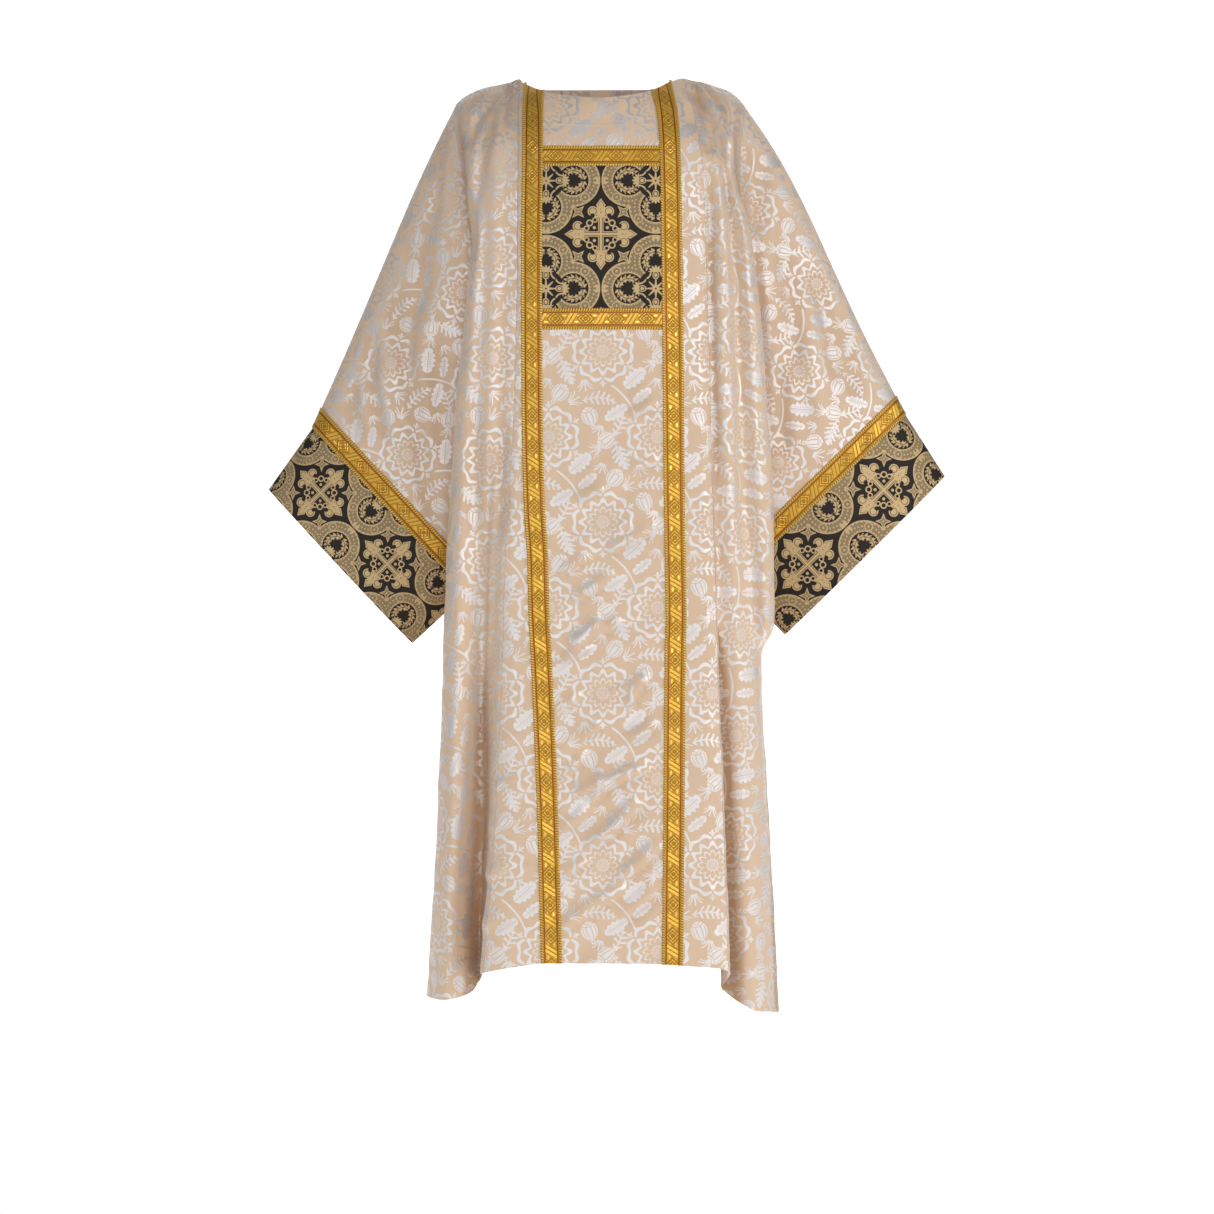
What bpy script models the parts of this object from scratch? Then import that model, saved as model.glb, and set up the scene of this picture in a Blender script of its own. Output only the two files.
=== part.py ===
"""A dalmatic in its worn, hollow form: lengths of cloth hung from a general figure's shoulders.

Metres, +Z up, the front faces -Y and +X is to the right of someone who looks at the front.
The origin lies between the two ends of the neck opening, at the top of the shoulders.

Each height has one section. A section is a smooth line through the named lines that run
down the garment: its folds, grooves, seams and edges. The tables hold those lines in
centimetres, as the distance out from the middle and the depth forward of the shoulder line.
"""

import bpy
import numpy as np

CM = 0.01

# Cloth and trim
WALL = 0.0020
SEAM_GAP = 0.0003
TRIM_LIFT = 0.0003
TRIM_WALL = 0.0012
GALLOON_WIDTH = 0.0265

# Heights below the neck point, in centimetres
TOP_GALLOON = 9.8
CHEST_TOP = 12.5
CHEST_BOTTOM = 30.7
LOW_GALLOON = 33.4
UNDERARM = 62.5
FRONT_LENGTH = 113.2

# Rows of the body's net, in centimetres below the neck point
ROWS = np.array([
    0.0, 1.6, 4.0, 7.0, TOP_GALLOON, CHEST_TOP, 17.0, 21.6, 26.2, CHEST_BOTTOM, LOW_GALLOON,
    38.0, 43.0, 48.0, 53.0, 58.0, UNDERARM, 66.5, 70.0, 73.5, 79.0, 86.0, 93.0, 100.0, 107.0,
    FRONT_LENGTH,
])
ARMHOLE_ROWS = int(np.where(ROWS == UNDERARM)[0][0]) + 1

# The heights that the section tables give
STATIONS = (0.0, 1.6, 5.0, 10.0, 22.0, 43.0, 56.0, UNDERARM, 70.0, 73.5, 95.0, FRONT_LENGTH)

# Middle of the front and of the back: depth at each station
MIDDLE_FRONT = (8.6, 9.0, 9.8, 11.2, 13.0, 14.3, 14.9, 15.2, 15.5, 15.7, 16.9, 18.0)
MIDDLE_BACK = (8.0, 8.6, 9.8, 11.2, 12.8, 13.4, 13.9, 14.4, 14.9, 15.2, 16.4, 17.4)

# Lines down each side, from the clavus to the side seam. The columns are the stations.
# "strip" is the outer edge of the clavus, "seam" joins the middle panel to the side panel,
# "dip" and "swell" are the first groove and fold, "groove" the second groove, "crest" and
# "edge" the front and the outside of the outer fold, "side" the armhole and the side seam.
LEFT = {
    "strip": ((9.9, 10.0, 10.0, 10.0, 10.1, 10.0, 9.7, 9.3, 9.1, 8.9, 8.0, 7.5),
              (3.2, 5.0, 7.8, 10.3, 12.4, 14.0, 14.7, 15.0, 15.3, 15.5, 16.9, 18.1)),
    "seam": ((10.6, 10.6, 10.6, 10.6, 10.6, 11.0, 11.7, 12.1, 12.3, 12.4, 13.3, 14.8),
             (1.7, 4.1, 7.3, 10.0, 12.2, 13.8, 14.4, 14.7, 14.9, 15.0, 16.3, 17.4)),
    "dip": ((11.8, 11.8, 11.9, 12.0, 12.1, 12.7, 13.1, 13.4, 13.5, 13.6, 14.2, 15.1),
            (0.0, 3.1, 6.8, 9.7, 11.9, 13.3, 13.5, 13.5, 13.5, 13.4, 13.4, 13.5)),
    "swell": ((13.2, 13.2, 13.3, 13.4, 13.4, 14.0, 14.3, 14.4, 14.5, 14.6, 14.9, 15.6),
              (0.0, 2.9, 6.5, 9.5, 11.9, 13.4, 13.3, 13.1, 12.7, 12.4, 11.3, 9.7)),
    "groove": ((14.9, 14.9, 14.8, 14.8, 14.8, 15.6, 15.8, 15.6, 15.4, 15.3, 15.7, 16.3),
               (0.0, 2.7, 6.1, 8.9, 11.4, 12.8, 12.6, 12.3, 12.0, 11.8, 11.1, 10.2)),
    "crest": ((16.5, 16.5, 16.4, 16.4, 15.9, 17.2, 17.7, 17.9, 18.1, 18.2, 18.9, 19.4),
              (0.0, 2.5, 5.6, 8.3, 11.3, 12.6, 13.0, 13.1, 13.1, 13.0, 13.2, 13.4)),
    "edge": ((17.9, 17.9, 17.8, 17.6, 16.8, 18.5, 19.3, 19.7, 20.0, 20.1, 21.0, 22.2),
             (0.0, 1.9, 4.5, 6.6, 9.4, 10.4, 10.2, 10.0, 9.8, 9.7, 9.2, 8.8)),
    "side": ((18.8, 18.9, 18.9, 18.3, 15.8, 16.3, 15.8, 14.0, 15.7, 16.7, 19.8, 21.3),
             (0.0, 1.2, 2.6, 4.0, 6.3, 6.2, 4.2, 0.0, 0.0, 0.0, 0.0, 0.0)),
}
RIGHT = {
    "strip": ((9.1, 9.3, 9.8, 10.1, 10.3, 10.5, 10.6, 10.7, 10.8, 10.7, 10.5, 10.3),
              (3.8, 5.4, 8.0, 10.3, 12.4, 14.1, 14.7, 15.0, 15.3, 15.5, 16.8, 17.9)),
    "seam": ((10.6, 11.1, 12.0, 12.8, 13.4, 14.0, 14.3, 14.5, 14.6, 14.7, 15.5, 16.1),
             (1.6, 4.0, 7.2, 9.8, 11.8, 13.6, 14.4, 14.7, 14.9, 15.1, 16.0, 17.0)),
    "dip": ((12.0, 12.2, 12.9, 13.6, 14.1, 14.6, 14.8, 14.8, 14.7, 14.7, 15.2, 15.6),
            (0.0, 2.9, 6.5, 9.3, 11.2, 13.0, 13.2, 13.1, 12.9, 12.8, 11.8, 10.8)),
    "swell": ((13.6, 13.8, 14.2, 14.6, 15.6, 16.2, 16.6, 16.9, 17.1, 17.3, 18.5, 19.2),
              (0.0, 2.8, 6.2, 9.1, 11.8, 13.5, 13.5, 13.3, 13.1, 12.9, 12.2, 12.0)),
    "groove": ((15.1, 15.2, 15.3, 15.5, 16.9, 17.9, 18.3, 18.9, 19.4, 19.7, 20.8, 21.6),
               (0.0, 2.6, 5.8, 8.5, 10.3, 11.6, 11.6, 11.5, 11.3, 11.0, 9.8, 9.6)),
    "crest": ((16.5, 16.5, 16.3, 16.2, 18.3, 19.6, 20.5, 20.8, 20.9, 20.3, 21.6, 22.6),
              (0.0, 2.4, 5.5, 8.2, 11.3, 12.4, 12.3, 12.2, 11.8, 9.3, 7.8, 7.2)),
    "edge": ((17.4, 17.3, 17.0, 16.9, 19.3, 21.2, 22.0, 22.1, 22.1, 20.6, 21.9, 23.0),
             (0.0, 2.0, 4.8, 6.7, 9.6, 10.4, 10.2, 10.1, 9.6, 6.4, 5.0, 4.4)),
    "side": ((18.2, 18.4, 18.4, 18.0, 17.8, 18.0, 16.6, 13.8, 16.6, 18.2, 21.5, 22.9),
             (0.0, 1.3, 2.7, 4.0, 6.3, 6.2, 4.2, 0.0, 0.0, 0.0, 0.0, 0.0)),
}
LINES = ("strip", "seam", "dip", "swell", "groove", "crest", "edge", "side")

BACK_FOLDS = ("seam", "dip", "swell", "groove")
BACK_SOFTNESS = 0.6

# How far each line starts below the neck point, and how far it ends below the middle's hem
START_DROP = {
    "left": (0.9, 0.1, 0.3, 0.6, 0.95, 1.5, 2.3, 3.1),
    "right": (0.7, 0.0, 0.1, 0.4, 0.9, 1.4, 2.0, 2.7),
}
HEM_DROP = {
    "left": (0.0, 1.2, 1.8, 3.0, 4.2, 5.0, 5.0, 4.8),
    "right": (0.3, 1.0, 4.0, 6.4, 6.9, 7.2, 7.3, 7.3),
}
MIDDLE_START = {"front": 3.4, "back": 0.2}
MIDDLE_HEM = {"front": 0.0, "back": 2.8}
START_FADE = 12.0
HEM_FADE = 60.0

# Cells between neighbouring lines, from the middle outwards; the second number is the clavus
CELLS = (3, 1, 1, 2, 2, 2, 2, 3, 3)

# Sleeve ends in the sleeve's own plane: x outward and z of the top and bottom, and half depth
SLEEVE_ENDS = {
    "left": {"seam": ((37.5, -45.2), (17.4, -66.6), 4.6), "hem": ((43.2, -53.2), (24.5, -73.2), 4.2)},
    "right": {"seam": ((39.6, -43.5), (17.2, -65.4), 4.6), "hem": ((44.7, -51.5), (23.9, -72.1), 4.2)},
}
SHOULDER_BULGE = {"left": 0.35, "right": 0.95}
# Weight of the sleeve in the direction that three walls share at the shoulder and the underarm
SLEEVE_SHARE = 1.4
SLEEVE_CELLS = 8
CUFF_CELLS = 3

COLOURS = {
    "damask": ((0.80, 0.64, 0.47, 1.0), 0.45, 0.0),
    "brocade": ((0.07, 0.055, 0.035, 1.0), 0.55, 0.0),
    "galloon": ((0.62, 0.38, 0.07, 1.0), 0.38, 0.35),
}


def steady(at, heights, values):
    """A smooth curve through the values that never swings past them."""
    heights = np.asarray(heights, float)
    values = np.asarray(values, float)
    step = np.diff(heights)
    rise = np.diff(values) / step
    slope = np.zeros_like(values)
    slope[0] = rise[0]
    slope[-1] = rise[-1]
    for k in range(1, len(values) - 1):
        if rise[k - 1] * rise[k] > 0.0:
            before = 2.0 * step[k] + step[k - 1]
            after = step[k] + 2.0 * step[k - 1]
            slope[k] = (before + after) / (before / rise[k - 1] + after / rise[k])
    at = np.clip(np.asarray(at, float), heights[0], heights[-1])
    k = np.clip(np.searchsorted(heights, at, side="right") - 1, 0, len(step) - 1)
    t = (at - heights[k]) / step[k]
    return (
        values[k] * (1 + 2 * t) * (1 - t) ** 2
        + slope[k] * step[k] * t * (1 - t) ** 2
        + values[k + 1] * t * t * (3 - 2 * t)
        + slope[k + 1] * step[k] * t * t * (t - 1)
    )


def rounded(points, cells):
    """A round line through the points, with a number of cells between each two of them."""
    points = np.asarray(points, float)
    along = np.concatenate([[0.0], np.cumsum(np.linalg.norm(np.diff(points, axis=0), axis=1) ** 0.5)])
    tangent = np.empty_like(points)
    tangent[0] = (points[1] - points[0]) / (along[1] - along[0])
    tangent[-1] = (points[-1] - points[-2]) / (along[-1] - along[-2])
    for k in range(1, len(points) - 1):
        before = along[k] - along[k - 1]
        after = along[k + 1] - along[k]
        back_slope = (points[k] - points[k - 1]) / before
        next_slope = (points[k + 1] - points[k]) / after
        tangent[k] = (back_slope * after + next_slope * before) / (before + after)
    line = [points[0]]
    for k, count in enumerate(cells):
        span = along[k + 1] - along[k]
        for cell in range(1, count + 1):
            t = cell / count
            line.append(
                points[k] * (1 + 2 * t) * (1 - t) ** 2
                + tangent[k] * span * t * (1 - t) ** 2
                + points[k + 1] * t * t * (3 - 2 * t)
                + tangent[k + 1] * span * t * t * (t - 1)
            )
    return np.array(line)


def start_fade(drop):
    return max(0.0, 1.0 - drop / START_FADE) ** 2


def hem_fade(drop):
    t = min(1.0, max(0.0, (drop - HEM_FADE) / (FRONT_LENGTH - HEM_FADE)))
    return t * t * (3.0 - 2.0 * t)


def height(drop, start, hem):
    return -(drop + start * start_fade(drop) + hem * hem_fade(drop))


def half_section(face, side, drop):
    """Control points from the middle to the side at one height, x outward and y forward."""
    own = LEFT if side == "left" else RIGHT
    other = RIGHT if side == "left" else LEFT
    depth = steady(drop, STATIONS, MIDDLE_FRONT if face == "front" else MIDDLE_BACK)
    points = [(0.0, depth, height(drop, MIDDLE_START[face], MIDDLE_HEM[face]))]
    for k, line in enumerate(LINES):
        out, forward = line_at(own, line, drop)
        hem = HEM_DROP[side][k]
        if face == "back":
            # The back's inner folds are softer ones, like those of the other side of the front
            if line in BACK_FOLDS:
                swap = 1.0 - start_fade(drop)
                room = line_at(own, "crest", drop)[0] / line_at(other, "crest", drop)[0]
                far_out, far_forward = line_at(other, line, drop)
                seam_forward = line_at(other, "seam", drop)[1]
                far_forward = seam_forward - BACK_SOFTNESS * (seam_forward - far_forward)
                out += swap * (far_out * room - out)
                forward += swap * (far_forward - forward)
            share = (k + 1) / len(LINES)
            front_depth = steady(drop, STATIONS, MIDDLE_FRONT)
            forward *= 1.0 - (1.0 - depth / front_depth) * (1.0 - share)
            hem = MIDDLE_HEM[face] + (HEM_DROP[side][-1] - MIDDLE_HEM[face]) * share
        z = height(drop, START_DROP[side][k], hem)
        if line == "strip":
            share = 0.57
            inner = (
                out - GALLOON_WIDTH / CM,
                forward + share * (depth - forward),
                z + share * (points[0][2] - z),
            )
            points.append(inner)
        points.append((out, forward, z))
    return np.array(points)


def line_at(table, line, drop):
    """Distance out and depth of a named line at one height."""
    out, forward = table[line]
    return steady(drop, STATIONS, out), steady(drop, STATIONS, forward)


def body_net(face):
    """Rows of points across the front or the back, from the left side to the right side."""
    rows = []
    for drop in ROWS:
        left = half_section(face, "left", drop)
        right = half_section(face, "right", drop)
        left[:, 0] *= -1.0
        points = np.vstack([left[::-1], right[1:]])
        line = rounded(points, CELLS[::-1] + CELLS)
        line[:, 1] = np.maximum(line[:, 1], 0.0) * (-1.0 if face == "front" else 1.0)
        rows.append(line * CM)
    return np.array(rows)


def column(side, line):
    """Column of a named line in the body's net."""
    names = ("inner",) + LINES
    out = sum(CELLS[: names.index(line) + 1])
    middle = sum(CELLS)
    return middle - out if side == "left" else middle + out


def sleeve_ring(side, name, share):
    """Point of a sleeve end on its front face; share runs from the top to the bottom."""
    (top_x, top_z), (low_x, low_z), half_depth = SLEEVE_ENDS[side][name]
    across = np.array([top_x + (low_x - top_x) * share, 0.0, top_z + (low_z - top_z) * share])
    across[1] = -half_depth * np.sqrt(max(0.0, 1.0 - (2.0 * share - 1.0) ** 2))
    if side == "left":
        across[0] *= -1.0
    return across * CM


def outward(side):
    """Direction of the sleeve's length, square to its cuff."""
    (top_x, top_z), (low_x, low_z), _ = SLEEVE_ENDS[side]["seam"]
    along = np.array([low_x - top_x, 0.0, low_z - top_z])
    along /= np.linalg.norm(along)
    out = np.array([-along[2], 0.0, along[0]])
    if side == "left":
        out[0] *= -1.0
    return out


def sleeve_net(side, front_edge, back_edge):
    """Rings of the sleeve: first the armhole, then the galloon's upper edge, last the cuff seam."""
    shares = ROWS[:ARMHOLE_ROWS] / UNDERARM
    armhole = np.vstack([front_edge, back_edge[-2:0:-1]])
    seam = [sleeve_ring(side, "seam", share) for share in shares]
    mirrored = [point * np.array([1.0, -1.0, 1.0]) for point in seam[-2:0:-1]]
    seam = np.array(seam + mirrored)
    share_round = np.concatenate([shares, shares[-2:0:-1]])
    direction = outward(side)
    reach = (seam - armhole) @ direction
    galloon_start = 1.0 - GALLOON_WIDTH / reach
    swing = SHOULDER_BULGE[side] * CM * np.array([-1.0 if side == "left" else 1.0, 0.0, 0.45])
    rings = []
    for cell in range(SLEEVE_CELLS + 2):
        if cell <= SLEEVE_CELLS:
            way = galloon_start * cell / SLEEVE_CELLS
        else:
            way = np.ones_like(galloon_start)
        ring = armhole + (seam - armhole) * way[:, None]
        fullness = np.sin(np.pi * np.minimum(1.0, way * 1.15) ** 0.6) ** 2 * (1.0 - share_round) ** 4
        ring = ring + swing[None, :] * fullness[:, None]
        rings.append(ring)
    return np.array(rings)


def cuff_net(side):
    shares = ROWS[:ARMHOLE_ROWS] / UNDERARM
    rings = []
    for cell in range(CUFF_CELLS + 1):
        way = cell / CUFF_CELLS
        ring = [
            sleeve_ring(side, "seam", share) * (1.0 - way) + sleeve_ring(side, "hem", share) * way
            for share in shares
        ]
        ring += [point * np.array([1.0, -1.0, 1.0]) for point in ring[-2:0:-1]]
        rings.append(ring)
    return np.array(rings)


def unit(vectors):
    return vectors / np.linalg.norm(vectors, axis=-1, keepdims=True)


def normals(net, closed=False):
    """Outward directions at a net's points; a closed net runs round a tube."""
    down = np.gradient(net, axis=0)
    if closed:
        across = np.roll(net, -1, axis=1) - np.roll(net, 1, axis=1)
    else:
        across = np.gradient(net, axis=1)
    facing = unit(np.cross(across, down))
    return facing


def away_from(facing, net, centre):
    """Turns the directions round where they point at the centre on the whole."""
    return facing if np.sum(facing * (net - centre)) > 0.0 else -facing


def shell(name, outer, inner, finish, closed=False):
    """A closed wall between two nets of points."""
    rows, columns = outer.shape[:2]
    points = np.concatenate([outer.reshape(-1, 3), inner.reshape(-1, 3)])
    offset = rows * columns
    faces = []

    def at(row, col, layer):
        return layer * offset + row * columns + col % columns

    def quad(a, b, c, d):
        faces.append((a, b, c))
        faces.append((a, c, d))

    def rim(a, b, c, d):
        # The shorter diagonal, so that two walls that meet end in the same two facets
        one = np.linalg.norm(points[a] - points[c])
        other = np.linalg.norm(points[b] - points[d])
        corners = (a, b, c, d) if one < other else (b, c, d, a)
        quad(*corners)

    steps = columns if closed else columns - 1
    for row in range(rows - 1):
        for col in range(steps):
            quad(at(row, col, 0), at(row + 1, col, 0), at(row + 1, col + 1, 0), at(row, col + 1, 0))
            faces.append((at(row, col, 1), at(row + 1, col + 1, 1), at(row + 1, col, 1)))
            faces.append((at(row, col, 1), at(row, col + 1, 1), at(row + 1, col + 1, 1)))
    for col in range(steps):
        rim(at(0, col, 1), at(0, col, 0), at(0, col + 1, 0), at(0, col + 1, 1))
        last = rows - 1
        rim(at(last, col, 0), at(last, col, 1), at(last, col + 1, 1), at(last, col + 1, 0))
    if not closed:
        last = columns - 1
        for row in range(rows - 1):
            rim(at(row, 0, 0), at(row, 0, 1), at(row + 1, 0, 1), at(row + 1, 0, 0))
            rim(at(row, last, 1), at(row, last, 0), at(row + 1, last, 0), at(row + 1, last, 1))
    if signed_volume(points, faces) < 0.0:
        faces = [face[::-1] for face in faces]
    mesh = bpy.data.meshes.new(name)
    mesh.from_pydata([tuple(point) for point in points], [], faces)
    mesh.shade_smooth()
    mesh.set_sharp_from_angle(angle=np.radians(50.0))
    mesh.materials.append(material(name, finish))
    thing = bpy.data.objects.new(name, mesh)
    bpy.context.scene.collection.objects.link(thing)
    return thing


def signed_volume(points, faces):
    corners = points[np.array(faces)]
    return np.sum(np.cross(corners[:, 0], corners[:, 1]) * corners[:, 2])


def material(name, finish):
    colour, roughness, metallic = COLOURS[finish]
    made = bpy.data.materials.new(name)
    made.use_nodes = True
    shader = made.node_tree.nodes["Principled BSDF"]
    shader.inputs["Base Color"].default_value = colour
    shader.inputs["Roughness"].default_value = roughness
    shader.inputs["Metallic"].default_value = metallic
    made.diffuse_color = colour
    return made


def cut_back(net, way, border, towards, gap=SEAM_GAP):
    """Moves a border of a net back from its seam, square to the seam and within the cloth."""
    line = net[border]
    along = unit(np.gradient(line, axis=0))
    face = way[border]
    back = net[towards] - line
    back = back - along * np.sum(back * along, axis=-1, keepdims=True)
    back = back - face * np.sum(back * face, axis=-1, keepdims=True)
    net[border] = line + unit(back) * gap / 2.0


START_COLUMN = (slice(None), 0), (slice(None), 1)
END_COLUMN = (slice(None), -1), (slice(None), -2)
START_ROW = (0,), (1,)
END_ROW = (-1,), (-2,)


def panel(name, net, facing, columns, seams):
    """A body panel between two columns; seams lists its borders that meet another piece."""
    first, last = columns
    outer = net[:, first:last + 1].copy()
    way = facing[:, first:last + 1]
    for border in seams:
        cut_back(outer, way, *border)
    return shell(name, outer, outer - way * WALL, "damask")


def trim(name, net, facing, rows, columns, finish):
    """Something that lies on a panel: the panel's own points, moved out."""
    row_a, row_b = rows
    col_a, col_b = columns
    base = net[row_a:row_b + 1, col_a:col_b + 1].copy()
    way = facing[row_a:row_b + 1, col_a:col_b + 1]
    cut_back(base, way, *START_COLUMN)
    cut_back(base, way, *END_COLUMN)
    if row_a > 0:
        cut_back(base, way, *START_ROW)
    if row_b < len(ROWS) - 1:
        cut_back(base, way, *END_ROW)
    return shell(name, base + way * (TRIM_LIFT + TRIM_WALL), base + way * TRIM_LIFT, finish)


def build():
    for thing in list(bpy.data.objects):
        bpy.data.objects.remove(thing, do_unlink=True)

    nets = {face: body_net(face) for face in ("front", "back")}
    axis = np.array([0.0, 0.0, -0.6])
    facing = {face: away_from(normals(net), net, axis) for face, net in nets.items()}

    sleeves = {}
    ring_facing = {}
    for side, edge in (("left", 0), ("right", -1)):
        armhole_front = nets["front"][:ARMHOLE_ROWS, edge]
        armhole_back = nets["back"][:ARMHOLE_ROWS, edge]
        net = sleeve_net(side, armhole_front, armhole_back)
        middle = net.mean(axis=(0, 1))
        sleeves[side] = net
        ring_facing[side] = away_from(normals(net, closed=True), net, middle)

        # Where pieces meet, both walls end along the same direction
        front = facing["front"][:, edge]
        back = facing["back"][:, edge]
        ring = ring_facing[side][0]
        shared = unit(front + back)
        front[ARMHOLE_ROWS:] = shared[ARMHOLE_ROWS:]
        back[ARMHOLE_ROWS:] = shared[ARMHOLE_ROWS:]
        low = ARMHOLE_ROWS - 1
        for row in range(1, low):
            front[row] = unit(front[row] + ring[row])
            ring[row] = front[row]
            back[row] = unit(back[row] + ring[-row])
            ring[-row] = back[row]
        for row in (0, low):
            together = unit(front[row] + back[row] + SLEEVE_SHARE * ring[row])
            front[row] = together
            back[row] = together
            ring[row] = together

    # The shoulder seams
    for side in ("left", "right"):
        seam = column(side, "seam")
        columns = slice(1, seam + 1) if side == "left" else slice(seam, -1)
        together = unit(facing["front"][0, columns] + facing["back"][0, columns])
        facing["front"][0, columns] = together
        facing["back"][0, columns] = together

    front_net, front_way = nets["front"], facing["front"]
    back_net, back_way = nets["back"], facing["back"]
    last = front_net.shape[1] - 1
    seam_left = column("left", "seam")
    seam_right = column("right", "seam")
    all_round = (START_COLUMN, END_COLUMN, START_ROW)
    panel("front_middle", front_net, front_way, (seam_left, seam_right), (START_COLUMN, END_COLUMN))
    panel("front_side_left", front_net, front_way, (0, seam_left), all_round)
    panel("front_side_right", front_net, front_way, (seam_right, last), all_round)
    panel("back", back_net, back_way, (0, last), all_round)

    rows = (0, len(ROWS) - 1)
    for face, net, way in (("front", front_net, front_way), ("back", back_net, back_way)):
        for side in ("left", "right"):
            inner = column(side, "inner")
            outer = column(side, "strip")
            columns = (min(inner, outer), max(inner, outer))
            trim(f"clavus_{face}_{side}", net, way, rows, columns, "galloon")

    chest = (column("left", "inner"), column("right", "inner"))
    row_of = {drop: int(np.where(ROWS == drop)[0][0]) for drop in
              (TOP_GALLOON, CHEST_TOP, CHEST_BOTTOM, LOW_GALLOON)}
    pieces = (
        ("chest_galloon_top", TOP_GALLOON, CHEST_TOP, "galloon"),
        ("chest_panel", CHEST_TOP, CHEST_BOTTOM, "brocade"),
        ("chest_galloon_bottom", CHEST_BOTTOM, LOW_GALLOON, "galloon"),
    )
    for name, high, low, finish in pieces:
        trim(name, front_net, front_way, (row_of[high], row_of[low]), chest, finish)

    for side, net in sleeves.items():
        way = ring_facing[side]
        cuff = cuff_net(side)
        cuff_way = away_from(normals(cuff, closed=True), cuff, cuff.mean(axis=(0, 1)))
        joint = unit(way[-1] + cuff_way[0])
        way[-1] = joint
        cuff_way[0] = joint

        outer = net.copy()
        cut_back(outer, way, *START_ROW)
        cut_back(outer, way, *END_ROW)
        shell(f"sleeve_{side}", outer, outer - way * WALL, "damask", closed=True)

        band = net[-2:].copy()
        band_way = way[-2:]
        cut_back(band, band_way, *END_ROW)
        lifted = band + band_way * TRIM_LIFT
        shell(f"cuff_galloon_{side}", lifted + band_way * TRIM_WALL, lifted, "galloon", closed=True)

        outer = cuff.copy()
        cut_back(outer, cuff_way, *START_ROW)
        shell(f"cuff_{side}", outer, outer - cuff_way * WALL, "brocade", closed=True)


build()
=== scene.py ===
import bmesh
import bpy
import numpy as np
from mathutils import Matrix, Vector


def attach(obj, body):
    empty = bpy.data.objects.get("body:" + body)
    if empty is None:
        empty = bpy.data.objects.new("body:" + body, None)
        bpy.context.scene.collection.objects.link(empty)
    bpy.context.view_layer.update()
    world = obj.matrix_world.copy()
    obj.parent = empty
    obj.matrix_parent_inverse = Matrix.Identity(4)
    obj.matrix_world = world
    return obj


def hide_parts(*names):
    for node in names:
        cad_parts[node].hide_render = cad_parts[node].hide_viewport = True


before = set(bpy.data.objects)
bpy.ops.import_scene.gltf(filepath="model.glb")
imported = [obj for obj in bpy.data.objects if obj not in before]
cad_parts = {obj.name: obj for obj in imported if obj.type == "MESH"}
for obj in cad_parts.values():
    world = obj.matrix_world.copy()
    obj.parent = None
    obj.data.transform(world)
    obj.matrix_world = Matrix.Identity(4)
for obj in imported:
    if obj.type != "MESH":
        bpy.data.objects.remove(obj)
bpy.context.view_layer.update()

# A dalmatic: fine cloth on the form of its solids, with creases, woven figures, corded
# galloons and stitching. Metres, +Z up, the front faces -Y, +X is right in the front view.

CM = 0.01
MM = 0.001
SIDES = ("left", "right")

# Cloth and trim
WALL = 0.0016
SEAM_GAP = 0.0003
TRIM_LIFT = 0.0004
TRIM_WALL = 0.0009
GALLOON_WIDTH = 0.0265
CORD_RADIUS = 0.0020
CORD_FLATNESS = 0.7
CORD_SIDES = 6
CORD_INSET = CORD_RADIUS * 0.9
STITCH_LIFT = 0.0002

# Heights below the neck point, in centimetres
STITCH_LINE = 6.4
TOP_GALLOON = 9.8
CHEST_TOP = 12.5
CHEST_BOTTOM = 30.7
LOW_GALLOON = 33.4
UNDERARM = 62.5
FRONT_LENGTH = 113.2
ROW_STEP = 0.5

# The heights that the section tables give
STATIONS = (0.0, 1.6, 5.0, 10.0, 22.0, 43.0, 56.0, UNDERARM, 70.0, 73.5, 95.0, FRONT_LENGTH)

# Middle of the front and of the back: depth at each station
MIDDLE_FRONT = (8.6, 9.0, 9.8, 11.2, 13.0, 14.3, 14.9, 15.2, 15.5, 15.7, 16.9, 18.0)
MIDDLE_BACK = (8.0, 8.6, 9.8, 11.2, 12.8, 13.4, 13.9, 14.4, 14.9, 15.2, 16.4, 17.4)

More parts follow.
